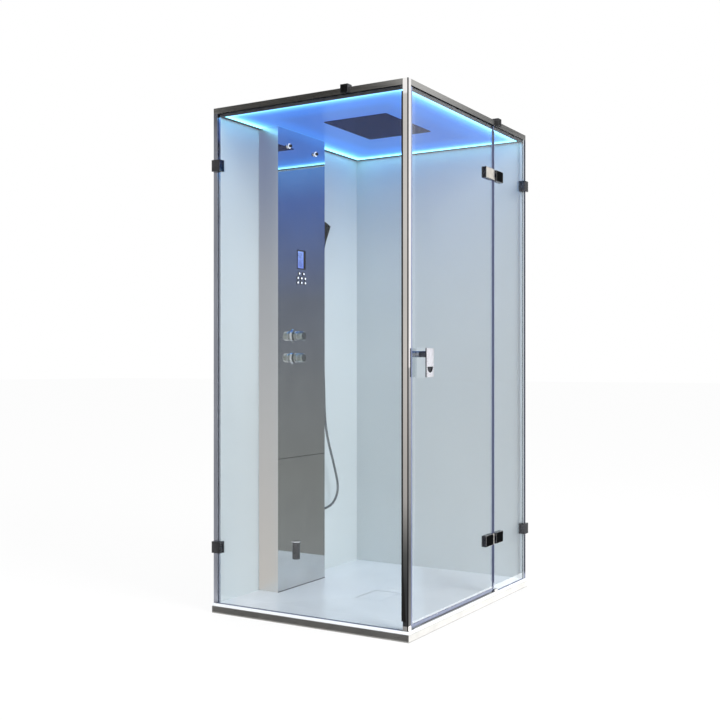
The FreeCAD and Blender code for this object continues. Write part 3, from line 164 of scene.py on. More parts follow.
def objectPart(tree, output, axis, unsigned=False):
    # one axis of the object's own place or direction; unsigned gives its distance from zero
    place = addNode(tree, "ShaderNodeTexCoord").outputs[output]
    part = addNode(tree, "ShaderNodeSeparateXYZ", {0: place}).outputs[axis]
    if unsigned:
        part = addNode(tree, "ShaderNodeMath", {0: part}, {"operation": "ABSOLUTE"}).outputs[0]
    return part


def maskWhere(material, output, axis, test, limit, reach=0.0, unsigned=False):
    # 1 where one axis of the object's own place or direction passes the test, and 0 elsewhere
    tree = material.node_tree
    return addNode(tree, "ShaderNodeMath", {
        0: objectPart(tree, output, axis, unsigned), 1: limit, 2: reach}, {"operation": test}).outputs[0]


def tintWhere(material, mask, shade):
    # another shade where the mask is 1, over what has coloured the finish so far
    tree, base = material.node_tree, shaderInput(material, "Base Color")
    tint = addNode(tree, "ShaderNodeMix", {
        "Factor": mask, 6: base.links[0].from_socket, 7: colour(shade)}, {"data_type": "RGBA"})
    tree.links.new(tint.outputs[2], base)


# vacuum-formed sanitary acrylic: white and glossy, with a slow ripple left by the mould
acrylic = grainedFinish("formed_acrylic_gloss", {
    "shades": ("f0f5f9", "f6fafd"), "patch": 0.4, "grain": 0.22, "roughness": (0.2, 0.26),
    "relief": 0.05, "depth": 0.002}, {"IOR": 1.49})

# back-painted acrylic wall sheet: pale blue-grey under a glossy face
walls = grainedFinish("back_painted_acrylic_sheet", {
    "shades": ("cfd6d7", "d4dbdc"), "patch": 0.6, "grain": 0.3, "roughness": (0.3, 0.36),
    "relief": 0.04, "depth": 0.002}, {"IOR": 1.49})

# rolled stainless strip, belt-ground along its length; 0.3 mm grit drawn 2 mm wide so that it shows
skirtSteel = grainedFinish("ground_stainless_strip", {
    "shades": ("a09f9c", "aeadaa"), "patch": 0.12, "grain": 0.002, "stretch": (0.02, 0.02, 1),
    "roughness": (0.26, 0.36), "relief": 0.1}, metal)

# bright-dipped extrusion, near mirror: the die's lines run up the post
postMetal = grainedFinish("bright_dipped_aluminium_post", {
    "shades": ("eceae8", "f4f2f0"), "patch": 0.3, "grain": 0.003, "stretch": (1, 1, 0.01),
    "roughness": (0.02, 0.04), "relief": 0.02, "depth": 0.0001}, metal)

# buffed aluminium extrusion: softer and greyer than the post, lines along each bar
railLook = {"shades": ("a9a8a5", "b6b5b2"), "patch": 0.3, "grain": 0.003, "stretch": (0.01, 1, 1),
            "roughness": (0.12, 0.2), "relief": 0.05, "depth": 0.0003}
railMetalX = grainedFinish("buffed_aluminium_rail", railLook, metal)
railMetalY = grainedFinish("buffed_aluminium_side_rail", {**railLook, "stretch": (1, 0.01, 1)}, metal)
profileMetal = grainedFinish("buffed_aluminium_wall_profile", {
    **railLook, "shades": ("9c9faa", "a8abb6"), "stretch": (1, 1, 0.01)}, metal)

# chrome over polished brass: bright and sharp, dulled in places by water marks
chromeLook = {"shades": ("cfd0d3", "dcdde0"), "patch": 0.02, "grain": 0.008, "roughness": (0.03, 0.09),
              "relief": 0.015}
chrome = grainedFinish("chrome_plated_brass", chromeLook, metal)
# hinge leaves: clear chrome fronts; the sawn edges, knuckles and every face not turned to the front carry a
# painted shade
hingeChromeShadedSides = grainedFinish("chrome_hinge_painted_shade_sides", {
    **chromeLook, "shades": ("dcd9d5", "e6e3df"), "roughness": (0.01, 0.025), "relief": 0.003}, metal)
# painted shade: faces whose normal is not turned to the front are coloured dark
tintWhere(hingeChromeShadedSides, maskWhere(hingeChromeShadedSides, "Normal", "Y", "GREATER_THAN", -0.85), "3c3d42")

# smoked chrome of the round handle knob: darker, so its rings read as dark lines
knobChrome = grainedFinish("smoked_chrome_knob", {**chromeLook, "shades": ("85888f", "989ba2")}, metal)

# tap chrome with a painted reflection: darker where it faces the eye, a painted white highlight towards its
# rims
tapChromePaintedRims = grainedFinish("tap_chrome_painted_rim_highlight", {**chromeLook, "shades": ("8a918c", "a0a5a2")}, metal)
tree = tapChromePaintedRims.node_tree
turnedAway = addNode(tree, "ShaderNodeLayerWeight", {"Blend": 0.5}).outputs["Facing"]
paintedRimHighlight = addNode(tree, "ShaderNodeMapRange", {
    "Value": turnedAway, "From Min": 0.4, "From Max": 0.72})
# painted highlight: white laid over the rims, where the surface turns away from the eye
tintWhere(tapChromePaintedRims, paintedRimHighlight.outputs[0], "fafbfc")

# chrome handle plate, brighter, with painted shade in the thumb dish behind its face and on its sides
handleChrome = grainedFinish("chrome_handle_painted_shade_dish", {
    **chromeLook, "shades": ("eeeef4", "f6f6fb")}, metal)
dishFloor, dishReach = -0.5165, 0.0008
# painted shade: the recessed thumb dish coloured dark
tintWhere(handleChrome, maskWhere(handleChrome, "Object", "Y", "COMPARE", dishFloor, dishReach), "3a3b42")
# painted shade: sides and back, every face not turned to the front, coloured dark
tintWhere(handleChrome, maskWhere(handleChrome, "Normal", "Y", "GREATER_THAN", -0.5), "44464e")

# black nickel plate on cast clamps: dark, clear reflections
blackNickel = grainedFinish("black_nickel_plate", {
    "shades": ("4a4a4c", "565659"), "patch": 0.02, "grain": 0.006, "roughness": (0.1, 0.18),
    "relief": 0.02}, metal)

# stainless column: super-mirror front with cloudy polishing marks, satin-ground side returns; the returns'
# base is painted lighter and warmer than the front, painted light
columnSteel = grainedFinish("mirror_and_satin_stainless_painted_light_sides", {
    "shades": ("d6d7d7", "dfe0e0"), "patch": 0.14, "grain": 0.3, "roughness": (0.015, 0.04),
    "relief": 0.02, "depth": 0.003}, metal)
isReturn = maskWhere(columnSteel, "Normal", "X", "GREATER_THAN", 0.5, unsigned=True)
polish = shaderInput(columnSteel, "Roughness")
satin = addNode(columnSteel.node_tree, "ShaderNodeMix", {
    "Factor": isReturn, 2: polish.links[0].from_socket, 3: 0.3}, {"data_type": "FLOAT"})
columnSteel.node_tree.links.new(satin.outputs[0], polish)
# painted light: the side returns' base colour raised lighter than the front
tintWhere(columnSteel, isReturn, "e4e2df")

# mixer: chrome rose plates in front of the column, bare machined brass behind it
columnInside = 0.3615
mixerMetal = grainedFinish("chrome_roses_brass_body", chromeLook, metal)
tintWhere(mixerMetal, maskWhere(mixerMetal, "Object", "Y", "GREATER_THAN", columnInside), "bfa264")

# jets: chrome flange on the column, black rubber barrel in front of it
flangeFront = 0.3563
jetMetal = grainedFinish("chrome_flange_rubber_barrel", chromeLook, metal)
tintWhere(jetMetal, maskWhere(jetMetal, "Object", "Y", "LESS_THAN", flangeFront), "1c1d22")

# right wall profile: a dark metal front, its darkness a painted shade, and a side painted pale like the wall
# that it holds and not metal, a painted reflection of the white surroundings
rightProfile = grainedFinish("right_profile_painted_shade_and_reflection", {
    **railLook, "shades": ("474d62", "525870"), "stretch": (1, 1, 0.01)}, {})
isSide = maskWhere(rightProfile, "Normal", "X", "LESS_THAN", -0.5)
# painted reflection: the side faces coloured pale and made non-metal
tintWhere(rightProfile, isSide, "cfd7db")
bare = addNode(rightProfile.node_tree, "ShaderNodeMath", {0: 1.0, 1: isSide}, {"operation": "SUBTRACT"})
rightProfile.node_tree.links.new(bare.outputs[0], shaderInput(rightProfile, "Metallic"))

# extruded vinyl lip seal: smoky, half clear
sealVinyl = grainedFinish("extruded_vinyl_seal", {
    "shades": ("66708e", "76809e"), "patch": 0.02, "grain": 0.01, "stretch": (1, 1, 0.02),
    "roughness": (0.25, 0.4), "relief": 0.05, "depth": 0.0003}, {"IOR": 1.53, "Transmission Weight": 0.15})

# the same vinyl, smoked: the core of the seal on the hinge line
smokedVinyl = grainedFinish("smoked_vinyl_core", {
    "shades": ("232942", "2c3350"), "patch": 0.02, "grain": 0.01, "stretch": (1, 1, 0.02),
    "roughness": (0.3, 0.4), "relief": 0.05, "depth": 0.0003}, {"IOR": 1.53, "Specular IOR Level": 0.3})

# extruded rubber: matt black with a dusty bloom
rubber = grainedFinish("extruded_rubber", {
    "shades": ("050506", "0e0e10"), "patch": 0.03, "grain": 0.002, "roughness": (0.45, 0.6),
    "relief": 0.1}, {"IOR": 1.5, "Specular IOR Level": 0.15})

# anodised aluminium angle round the ceiling: blue-black, soft metal sheen
ceilingBar = grainedFinish("anodised_aluminium_angle", {
    "shades": ("0c1220", "141b2c"), "patch": 0.1, "grain": 0.002, "roughness": (0.4, 0.5),
    "relief": 0.05}, {"Metallic": 0.3, "Specular IOR Level": 0.2})

# polished ABS hand shower: black, deep gloss
glossAbs = grainedFinish("polished_black_abs", {
    "shades": ("08090a", "101214"), "patch": 0.03, "grain": 0.01, "roughness": (0.15, 0.22),
    "relief": 0.02}, {"IOR": 1.53, "Specular IOR Level": 0.12})

# white polycarbonate caps with a cool even glow, a painted highlight that stands for glints
glowCapPaintedGlint = grainedFinish("white_cap_painted_glint_glow", {
    "shades": ("e6ebf4", "f6f9ff"), "patch": 0.01, "grain": 0.004, "roughness": (0.15, 0.2),
    "relief": 0.0, "depth": 0.0001},
    {"IOR": 1.58, "Emission Color": colour("e8eefc"), "Emission Strength": 0.75})

# moulded ABS boxes: grey, spark-eroded grain of 0.3 mm drawn at 1.2 mm so that it shows
greyAbs = grainedFinish("moulded_grey_abs", {
    "shades": ("3b3d40", "484a4e"), "patch": 0.05, "grain": 0.0012, "roughness": (0.45, 0.6),
    "relief": 0.15}, {"IOR": 1.53})

# moulded polystyrene roof lid: matt white, faint orange peel
roofStyrene = grainedFinish("moulded_white_polystyrene", {
    "shades": ("dcdfe1", "e8eaec"), "patch": 0.2, "grain": 0.004, "roughness": (0.4, 0.5),
    "relief": 0.2, "depth": 0.0003}, {"IOR": 1.59})

# silicone rain nozzles: dark, soft
silicone = grainedFinish("moulded_silicone_tip", {
    "shades": ("161c30", "222942"), "patch": 0.05, "grain": 0.001, "roughness": (0.4, 0.5),
    "relief": 0.05, "depth": 0.0001}, {"IOR": 1.43})

# drawn copper pipe and rolled stainless sheet: lines across the drawing direction
copper = grainedFinish("drawn_copper_pipe", {
    "shades": ("b0714c", "c98a62"), "patch": 0.06, "grain": 0.003, "stretch": (1, 1, 0.05),
    "roughness": (0.25, 0.35), "relief": 0.05}, metal)
rolledSteel = grainedFinish("rolled_stainless_sheet", {
    "shades": ("a8aaac", "b8babc"), "patch": 0.05, "grain": 0.002, "stretch": (0.05, 1, 1),
    "roughness": (0.28, 0.38), "relief": 0.05}, metal)

# polished stainless rain plate: its dark blue base is a painted reflection of the lit ceiling
rainSteelPaintedReflection = grainedFinish("rain_plate_painted_ceiling_reflection", {
    "shades": ("18234a", "202c54"), "patch": 0.1, "grain": 0.003, "roughness": (0.2, 0.28),
    "relief": 0.03}, {"Metallic": 1.0, "Specular Tint": colour("a2abc9")})


def floatGlass(name, across):
    # tempered float glass: clear through the face, dark blue-grey on its ground edges
    material, tree = newMaterial(name)
    isFace = maskWhere(material, "Normal", across, "GREATER_THAN", 0.5, unsigned=True)
    tone = addNode(tree, "ShaderNodeMix", {
        "Factor": isFace, 6: colour("2f3d58"), 7: colour("f9fbfc")}, {"data_type": "RGBA"})
    ground = addNode(tree, "ShaderNodeMapRange", {"Value": isFace, "To Min": 0.35, "To Max": 0.0})
    body = addNode(tree, "ShaderNodeBsdfPrincipled", {
        "IOR": 1.5, "Base Color": tone.outputs[2], "Roughness": ground,
        "Transmission Weight": isFace})
    clear = addNode(tree, "ShaderNodeBsdfTransparent", {"Color": colour("fafcfd")})
    shadow = addNode(tree, "ShaderNodeLightPath").outputs["Is Shadow Ray"]
    mixed = addNode(tree, "ShaderNodeMixShader", {0: shadow, 1: body, 2: clear})
    addNode(tree, "ShaderNodeOutputMaterial", {"Surface": mixed})
    return material


def litOpal():
    # opal acrylic lit from its edges: white-cyan beside the light strips, deep blue towards the middle
    material = grainedFinish("edge_lit_opal_acrylic", {
        "shades": ("1c2b50", "1e2d54"), "patch": 0.8, "grain": 0.2, "roughness": (0.3, 0.34),
        "relief": 0.0}, {"IOR": 1.49})
    tree = material.node_tree
    gaps = []
    for axis, half in (("X", 0.576), ("Y", 0.4585)):
        gaps.append(addNode(tree, "ShaderNodeMath", {
            0: half, 1: objectPart(tree, "Object", axis, unsigned=True)}, {"operation": "SUBTRACT"}))
    nearest = addNode(tree, "ShaderNodeMath", {
        0: gaps[0], 1: gaps[1], 2: 0.06}, {"operation": "SMOOTH_MIN"})
    depth = addNode(tree, "ShaderNodeMapRange", {"Value": nearest, "From Max": 0.4})
    glow = addNode(tree, "ShaderNodeValToRGB", {"Fac": depth})
    glow.color_ramp.interpolation = "EASE"
    fillRamp(glow, ((0.0, "8ceaff"), (0.05, "84ccfc"), (0.13, "4c98ee"), (0.3, "3571c8"),
                    (0.6, "3260b0"), (1.0, "3a60ae")))
    tree.links.new(glow.outputs["Color"], shaderInput(material, "Emission Color"))
    rim = addNode(tree, "ShaderNodeMapRange", {
        "Value": nearest, "From Max": 0.08, "To Min": 3.6, "To Max": 1.5})
    tree.links.new(rim.outputs[0], shaderInput(material, "Emission Strength"))
    return material


def litScreen():
    # backlit liquid-crystal display: lavender blue, brighter towards the top
    material = grainedFinish("backlit_crystal_display", {
        "shades": ("1c2340", "232b4c"), "patch": 0.05, "grain": 0.02, "roughness": (0.1, 0.14),
        "relief": 0.0, "depth": 0.0001}, {"IOR": 1.49, "Emission Strength": 1.0})
    tree = material.node_tree
    height = addNode(tree, "ShaderNodeMapRange", {
        "Value": objectPart(tree, "Object", "Z"), "From Min": 1.532, "From Max": 1.622})
    glow = addNode(tree, "ShaderNodeMix", {
        "Factor": height, 6: colour("6b82dc"), 7: colour("8fb0fa")}, {"data_type": "RGBA"})
    tree.links.new(glow.outputs[2], shaderInput(material, "Emission Color"))
    return material


# sleeved light strip: white-cyan glow, dimmer between its diodes every 17 mm
stripGlow = grainedFinish("sleeved_light_strip", {
    "shades": ("dfeffa", "f2fbff"), "patch": 0.017, "grain": 0.017, "roughness": (0.35, 0.45),
    "relief": 0.0, "depth": 0.0001}, {"Emission Strength": 1.5})
stripGlow.node_tree.links.new(shaderInput(stripGlow, "Base Color").links[0].from_socket,
                              shaderInput(stripGlow, "Emission Color"))

glassX = floatGlass("tempered_float_glass_side", "X")
glassY = floatGlass("tempered_float_glass_front", "Y")
opal, screenGlow = litOpal(), litScreen()

nodeFinishes = {
    acrylic: ["tray", "drain_cover"],
    skirtSteel: ["fascias"],
    greyAbs: ["waste_fittings", "control_box"],
    walls: ["back_wall", "right_wall"],
    profileMetal: ["wall_profile_left"],
    rightProfile: ["wall_profile_right"],
    postMetal: ["corner_post"],
    railMetalX: ["top_rail_front", "rear_top_rails", "threshold"],
    railMetalY: ["top_rail_left"],
    rubber: ["corner_bead"],
    sealVinyl: ["glass_seals", "door_magnet_seal", "door_drip_seal"],
    glassX: ["left_glass"],
    glassY: ["front_glass", "door_glass"],
    blackNickel: ["rail_clamps", "wall_clamps", "steam_outlet"],
    knobChrome: ["handle_knob"],
    jetMetal: ["jets"],
    hingeChromeShadedSides: ["upper_hinge_frame_leaf", "upper_hinge_door_leaf", "lower_hinge_frame_leaf",
                  "lower_hinge_door_leaf", "hinge_pins"],
    handleChrome: ["handle_plate"],
    chrome: ["flow_knob", "warm_knob", "handset_holder", "hand_outlet", "hose_nut", "shower_hose"],
    rolledSteel: ["clamp_screws", "steam_generator", "rain_head_box"],
    rainSteelPaintedReflection: ["rain_head_plate"],
    ceilingBar: ["ceiling_frame"],
    opal: ["ceiling_panel"],
    stripGlow: ["led_strips"],
    roofStyrene: ["roof_panel"],
    columnSteel: ["column_shell", "column_panel"],
    screenGlow: ["display_screen"],
    mixerMetal: ["mixer_body"],
    copper: ["column_pipes"],
    glossAbs: ["handset", *[f"button_{i}" for i in range(1, 9)]],
}
for finish, names in nodeFinishes.items():
    for name in names:
        if not cadNodes[name].material_slots:
            cadNodes[name].data.materials.append(finish)
        for materialSlot in cadNodes[name].material_slots:
            materialSlot.material = finish
print("stage: finishes")


# Ways to make pieces.

def newPiece(name, mesh, material, body):
    mesh.name = name
    mesh.materials.clear()
    mesh.materials.append(material)
    piece = bpy.data.objects.new(name, mesh)
    sceneItems.link(piece)
    if body:
        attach(piece, body)
    return piece


def softEdges(mesh, angle=35):
    mesh.shade_smooth()
    mesh.set_sharp_from_angle(angle=math.radians(angle))
    return mesh


def plainMesh(source):
    # the source with its modifiers applied, as a mesh of its own; the source goes
    bpy.context.view_layer.update()
    evaluated = source.evaluated_get(bpy.context.evaluated_depsgraph_get())
    mesh = bpy.data.meshes.new_from_object(evaluated)
    bpy.data.objects.remove(source)
    return mesh


def meshOf(shape):
    bmesh.ops.recalc_face_normals(shape, faces=shape.faces)
    mesh = bpy.data.meshes.new("shape")
    shape.to_mesh(mesh)
    shape.free()
    return mesh


def boxMesh(boxes):
    # boxes are (lowest corner, highest corner)
    shape = bmesh.new()
    for low, high in boxes:
        low, high = Vector(low), Vector(high)
        bmesh.ops.create_cube(shape, size=1, matrix=Matrix.Translation((low + high) / 2)
                              @ Matrix.Diagonal((*(high - low), 1)))
    return meshOf(shape)


socketKinds = {int: "NodeSocketInt", float: "NodeSocketFloat", tuple: "NodeSocketVector"}


def newTree(name, values):
    # a geometry tree with a named input for every value
    tree = bpy.data.node_groups.new(name, "GeometryNodeTree")
    for way in ("OUTPUT", "INPUT"):
        tree.interface.new_socket("Geometry", in_out=way, socket_type="NodeSocketGeometry")
    for label, value in values.items():
        kind = socketKinds[type(value)]
        tree.interface.new_socket(label, in_out="INPUT", socket_type=kind).default_value = value
    return tree, addNode(tree, "NodeGroupInput").outputs


def growPiece(tree, geometry, carrier, values, material):
    # closes the tree, runs it on the carrier and returns a plain mesh
    real = addNode(tree, "GeometryNodeRealizeInstances", {"Geometry": geometry})
    coated = addNode(tree, "GeometryNodeSetMaterial", {
        "Geometry": real, "Material": material})
    addNode(tree, "NodeGroupOutput", {"Geometry": coated})
    modifier = carrier.modifiers.new("grow", "NODES")
    modifier.node_group = tree
    for item in tree.interface.items_tree:
        if item.in_out == "INPUT" and item.name in values:
            modifier[item.identifier] = values[item.name]
    return plainMesh(carrier)


def pointCarrier(points):
    mesh = bpy.data.meshes.new("points")
    mesh.from_pydata(points, [], [])
    carrier = bpy.data.objects.new("points", mesh)
    sceneItems.link(carrier)
    return carrier


def turned(name, outline, origin, sides, material, body, axis=(0, 1, 0), flute=None):
    # a lathe-turned piece: outline of (distance along the axis, radius), closed at both ends
    along = Vector(axis).normalized()
    across = along.orthogonal().normalized()
    other = along.cross(across)
    shape = bmesh.new()
    rings = []
    for run, radius in outline:
        ring = []
        for k in range(sides):
            turn = 2 * math.pi * k / sides
            reach = radius * (flute(run, turn) if flute else 1)
            spoke = across * math.cos(turn) + other * math.sin(turn)
            ring.append(shape.verts.new(Vector(origin) + along * run + spoke * reach))
        rings.append(ring)
    for low, high in zip(rings, rings[1:]):
        for k in range(sides):
            shape.faces.new((low[k], low[(k + 1) % sides], high[(k + 1) % sides], high[k]))
    shape.faces.new(rings[0][::-1])
    shape.faces.new(rings[-1])
    return newPiece(name, softEdges(meshOf(shape)), material, body)


def eased(nodeName, width, body, material):
    # the CAD piece again with its sharp edges rounded over, so that they catch the light
    shape = bmesh.new()
    shape.from_mesh(cadNodes[nodeName].data)
    bmesh.ops.remove_doubles(shape, verts=shape.verts, dist=0.00002)
    bmesh.ops.dissolve_limit(shape, angle_limit=math.radians(1), verts=shape.verts, edges=shape.edges)
    sharp = [edge for edge in shape.edges
             if len(edge.link_faces) == 2 and edge.calc_face_angle() > math.radians(40)]
    rounded = bmesh.ops.bevel(shape, geom=sharp, offset=width, segments=2, profile=0.7,
                              affect="EDGES", clamp_overlap=True)["faces"]
    for face in shape.faces:
        face.smooth = False
    for face in rounded:
        face.smooth = True
    piece = newPiece(nodeName + "_eased", meshOf(shape), material, body)
    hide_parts(nodeName)
    return piece


# Shower hose: a double-lock metal spiral on the CAD route, from the side outlet to the nut.

hoseSettings = {
    "diameter": 0.013, "ribPitch": 0.011, "ribDepth": 0.0016, "sides": 16, "stepsPerRib": 6,
    "route": [
        (155, 415.5, 366), (207, 415.5, 366), (262, 413, 384), (297, 410, 424), (301, 408, 476),
        (283, 409, 531), (255, 410, 604), (222, 411, 680), (196, 412, 760), (184, 413, 850),
        (181, 414, 975), (172, 415, 1120), (152, 416, 1280), (128, 416, 1405),
        (108.22, 415.5, 1518.02), (127.37, 415.5, 1570.64)],
}

# rolled chrome turns, and grooves that stay dark; turns of 4 mm drawn at 11 mm to show
hoseMetal = grainedFinish("rolled_chrome_hose", {
    "shades": ("6f7377", "9a9da0"), "patch": 0.006, "grain": 0.004, "roughness": (0.1, 0.25),
    "relief": 0.1, "depth": 0.0003}, metal)


def hoseLine():
    curve = bpy.data.curves.new("hoseLine", "CURVE")
    curve.dimensions = "3D"
    curve.resolution_u = 24
    spline = curve.splines.new("NURBS")
    spline.points.add(len(hoseSettings["route"]) - 1)
    for point, place in zip(spline.points, hoseSettings["route"]):
        point.co = (*[c / 1000 for c in place], 1)
    spline.order_u = 3
    spline.use_endpoint_u = True
    carrier = bpy.data.objects.new("hoseLine", curve)
    sceneItems.link(carrier)
    return carrier


def ribbedHose():
    # a ring swept along the line, its radius falling to a groove once in every turn
    s = hoseSettings
    values = {"Radius": s["diameter"] / 2, "Rib Pitch": s["ribPitch"], "Rib Depth": s["ribDepth"],
              "Sides": s["sides"], "Step": s["ribPitch"] / s["stepsPerRib"]}
    tree, given = newTree("ribbedHose", values)
    even = addNode(tree, "GeometryNodeResampleCurve", {
        "Curve": given["Geometry"], "Length": given["Step"]}, {"mode": "LENGTH"})
    along = addNode(tree, "GeometryNodeSplineParameter")
    turns = addNode(tree, "ShaderNodeMath", {
        0: along.outputs["Length"], 1: given["Rib Pitch"]}, {"operation": "DIVIDE"})
    phase = addNode(tree, "ShaderNodeMath", {0: turns, 1: 0.5}, {"operation": "PINGPONG"})
    rise = addNode(tree, "ShaderNodeMath", {0: phase, 1: 2.0}, {"operation": "MULTIPLY"})
    crown = addNode(tree, "ShaderNodeMath", {0: rise, 1: 0.4}, {"operation": "POWER"})
    fall = addNode(tree, "ShaderNodeMath", {0: 1.0, 1: crown}, {"operation": "SUBTRACT"})
    groove = addNode(tree, "ShaderNodeMath", {
        0: fall, 1: given["Rib Depth"]}, {"operation": "MULTIPLY"})
    radius = addNode(tree, "ShaderNodeMath", {
        0: given["Radius"], 1: groove}, {"operation": "SUBTRACT"})
    kept = addNode(tree, "GeometryNodeCaptureAttribute", {"Geometry": even})
    kept.capture_items.new("FLOAT", "reach")
    tree.links.new(radius.outputs[0], kept.inputs["reach"])
    ring = addNode(tree, "GeometryNodeCurvePrimitiveCircle", {
        "Resolution": given["Sides"], "Radius": 1.0})
    swept = addNode(tree, "GeometryNodeCurveToMesh", {
        "Curve": kept.outputs["Geometry"], "Profile Curve": ring.outputs["Curve"],
        "Scale": kept.outputs["reach"], "Fill Caps": True})
    return growPiece(tree, swept.outputs[0], hoseLine(), values, hoseMetal)


hosePath = [tuple(vertex.co) for vertex in plainMesh(hoseLine()).vertices]
hose = newPiece("shower_hose_ribbed", softEdges(ribbedHose(), 50), hoseMetal, None)
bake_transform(hose)
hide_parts("shower_hose")


# Hardware with its edges eased.

for name, width, body, slotName, finish in (
        ("rail_clamps", 0.0012, "cabin", "chrome", blackNickel),
        ("wall_clamps", 0.0012, "cabin", "chrome", blackNickel),
        ("upper_hinge_frame_leaf", 0.001, "cabin", "chrome", hingeChromeShadedSides),
        ("lower_hinge_frame_leaf", 0.001, "cabin", "chrome", hingeChromeShadedSides),
        ("upper_hinge_door_leaf", 0.001, "door", "chrome", hingeChromeShadedSides),
        ("lower_hinge_door_leaf", 0.001, "door", "chrome", hingeChromeShadedSides),
        ("handset", 0.002, "handset", "black_plastic", glossAbs)):
    eased(name, width, body, finish)
print("stage: hardware")


# Rain head: a silicone tip in every hole of the plate, in a grid.

rainSettings = {"centre": (-0.041, -0.023, 2.168), "pitch": 0.028, "columns": 14, "rows": 11,
                "tipRadius": 0.0019, "tipLength": 0.0022}


def rainTips():
    s = rainSettings
    values = {"Size X": s["pitch"] * (s["columns"] - 1), "Size Y": s["pitch"] * (s["rows"] - 1),
              "Columns": s["columns"], "Rows": s["rows"], "Tip Radius": s["tipRadius"],
              "Tip Length": s["tipLength"], "Centre": s["centre"]}
    tree, given = newTree("rainTips", values)
    grid = addNode(tree, "GeometryNodeMeshGrid", {
        "Size X": given["Size X"], "Size Y": given["Size Y"],
        "Vertices X": given["Columns"], "Vertices Y": given["Rows"]})
    narrow = addNode(tree, "ShaderNodeMath", {0: given["Tip Radius"], 1: 0.6}, {"operation": "MULTIPLY"})
    tip = addNode(tree, "GeometryNodeMeshCone", {
        "Vertices": 10, "Radius Top": given["Tip Radius"], "Radius Bottom": narrow,
        "Depth": given["Tip Length"]})
    many = addNode(tree, "GeometryNodeInstanceOnPoints", {
        "Points": grid, "Instance": tip})
    moved = addNode(tree, "GeometryNodeTransform", {
        "Geometry": many, "Translation": given["Centre"]})
    return growPiece(tree, moved.outputs[0], pointCarrier([]), values, silicone)


newPiece("rain_tips", rainTips(), silicone, "cabin")
print("stage: rain head")


# Column fittings: fluted knobs, domed buttons with dark rims, display collar and figures, jet nozzles.

knobSettings = {
    "x": -0.154, "face": 0.3075, "back": 0.3545, "radius": 0.023, "flutes": 12, "fluteDepth": 0.05,
    "fluteStart": 0.001, "fluteEnd": 0.56, "heights": {"flow_knob": 1.216, "warm_knob": 1.114},
    "bands": (("waist", 0.0262, 0.0292, 1.0, chrome), ("groove", 0.0292, 0.0318, 0.9, rubber),
              ("skirt", 0.0446, 0.0466, 1.0, rubber)),
}
knobDepth = knobSettings["back"] - knobSettings["face"]


def knobFlute(run, turn):
    s = knobSettings
    if not s["fluteStart"] < run < knobDepth * s["fluteEnd"]:
        return 1
    return 1 - s["fluteDepth"] * max(0, math.cos(turn * s["flutes"])) ** 3


for name, height in knobSettings["heights"].items():
    r = knobSettings["radius"]
    origin = (knobSettings["x"], knobSettings["face"], height)
    outline = [(0, r * 0.35), (0.0, r * 0.82), (0.0014, r * 0.9), (0.0028, r * 0.925),
               (knobDepth * 0.55, r * 0.925), (knobDepth * 0.58, r * 0.8), (knobDepth * 0.64, r * 0.8),
               (knobDepth * 0.67, r * 0.985), (knobDepth * 0.95, r), (knobDepth, r * 0.96),
               (knobDepth, r * 0.3)]
    for label, low, high, reach, finish in knobSettings["bands"]:
        turned(f"{name}_{label}_band", [(low, r * 0.5), (low, r * reach), (high, r * reach), (high, r * 0.5)],
               origin, 64, finish, name)
    knob = turned(name + "_turned", outline, origin, 160, tapChromePaintedRims, name, flute=knobFlute)
    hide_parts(name)

buttonSettings = {
    "radius": 0.0065, "face": 0.3575, "rimFace": 0.3602, "rimRadius": 0.009, "rimThickness": 0.001,
    "rows": {1.511: ((1, -0.116), (2, -0.080)),
             1.4895: ((3, -0.128), (4, -0.098), (5, -0.068)),
             1.468: ((6, -0.128), (7, -0.098), (8, -0.068))},
    "dome": ((-0.0012, 0.1), (-0.0011, 0.35), (-0.0008, 0.6), (-0.0003, 0.76), (0.0002, 0.8), (0.0006, 0.7)),
}
rimPoints = []
for height, row in buttonSettings["rows"].items():
    for number, x in row:
        dome = [(run, buttonSettings["radius"] * share) for run, share in buttonSettings["dome"]]
        turned(f"button_cap_{number}", dome, (x, buttonSettings["face"], height), 32,
               glowCapPaintedGlint, f"button_{number}")
        rimPoints.append((x, buttonSettings["rimFace"], height))


def buttonRims():
    # a dark ring round every button, one torus at each point
    values = {"Rim Radius": buttonSettings["rimRadius"], "Rim Thickness": buttonSettings["rimThickness"]}
    tree, given = newTree("buttonRims", values)
    ring = addNode(tree, "GeometryNodeCurvePrimitiveCircle", {
        "Resolution": 40, "Radius": given["Rim Radius"]})
    wire = addNode(tree, "GeometryNodeCurvePrimitiveCircle", {
        "Resolution": 8, "Radius": given["Rim Thickness"]})
    rim = addNode(tree, "GeometryNodeCurveToMesh", {
        "Curve": ring.outputs["Curve"], "Profile Curve": wire.outputs["Curve"]})
    many = addNode(tree, "GeometryNodeInstanceOnPoints", {
        "Points": given["Geometry"], "Instance": rim, "Rotation": (math.radians(90), 0, 0)})
    return growPiece(tree, many.outputs[0], pointCarrier(rimPoints), values, rubber)


newPiece("button_rims", softEdges(buttonRims(), 80), rubber, "cabin")

displaySettings = {"x": -0.098, "z": 1.577, "width": 0.070, "tall": 0.090, "front": 0.3600,
                   "back": 0.3688, "wall": 0.0042, "lip": 0.0008, "play": 0.0001}


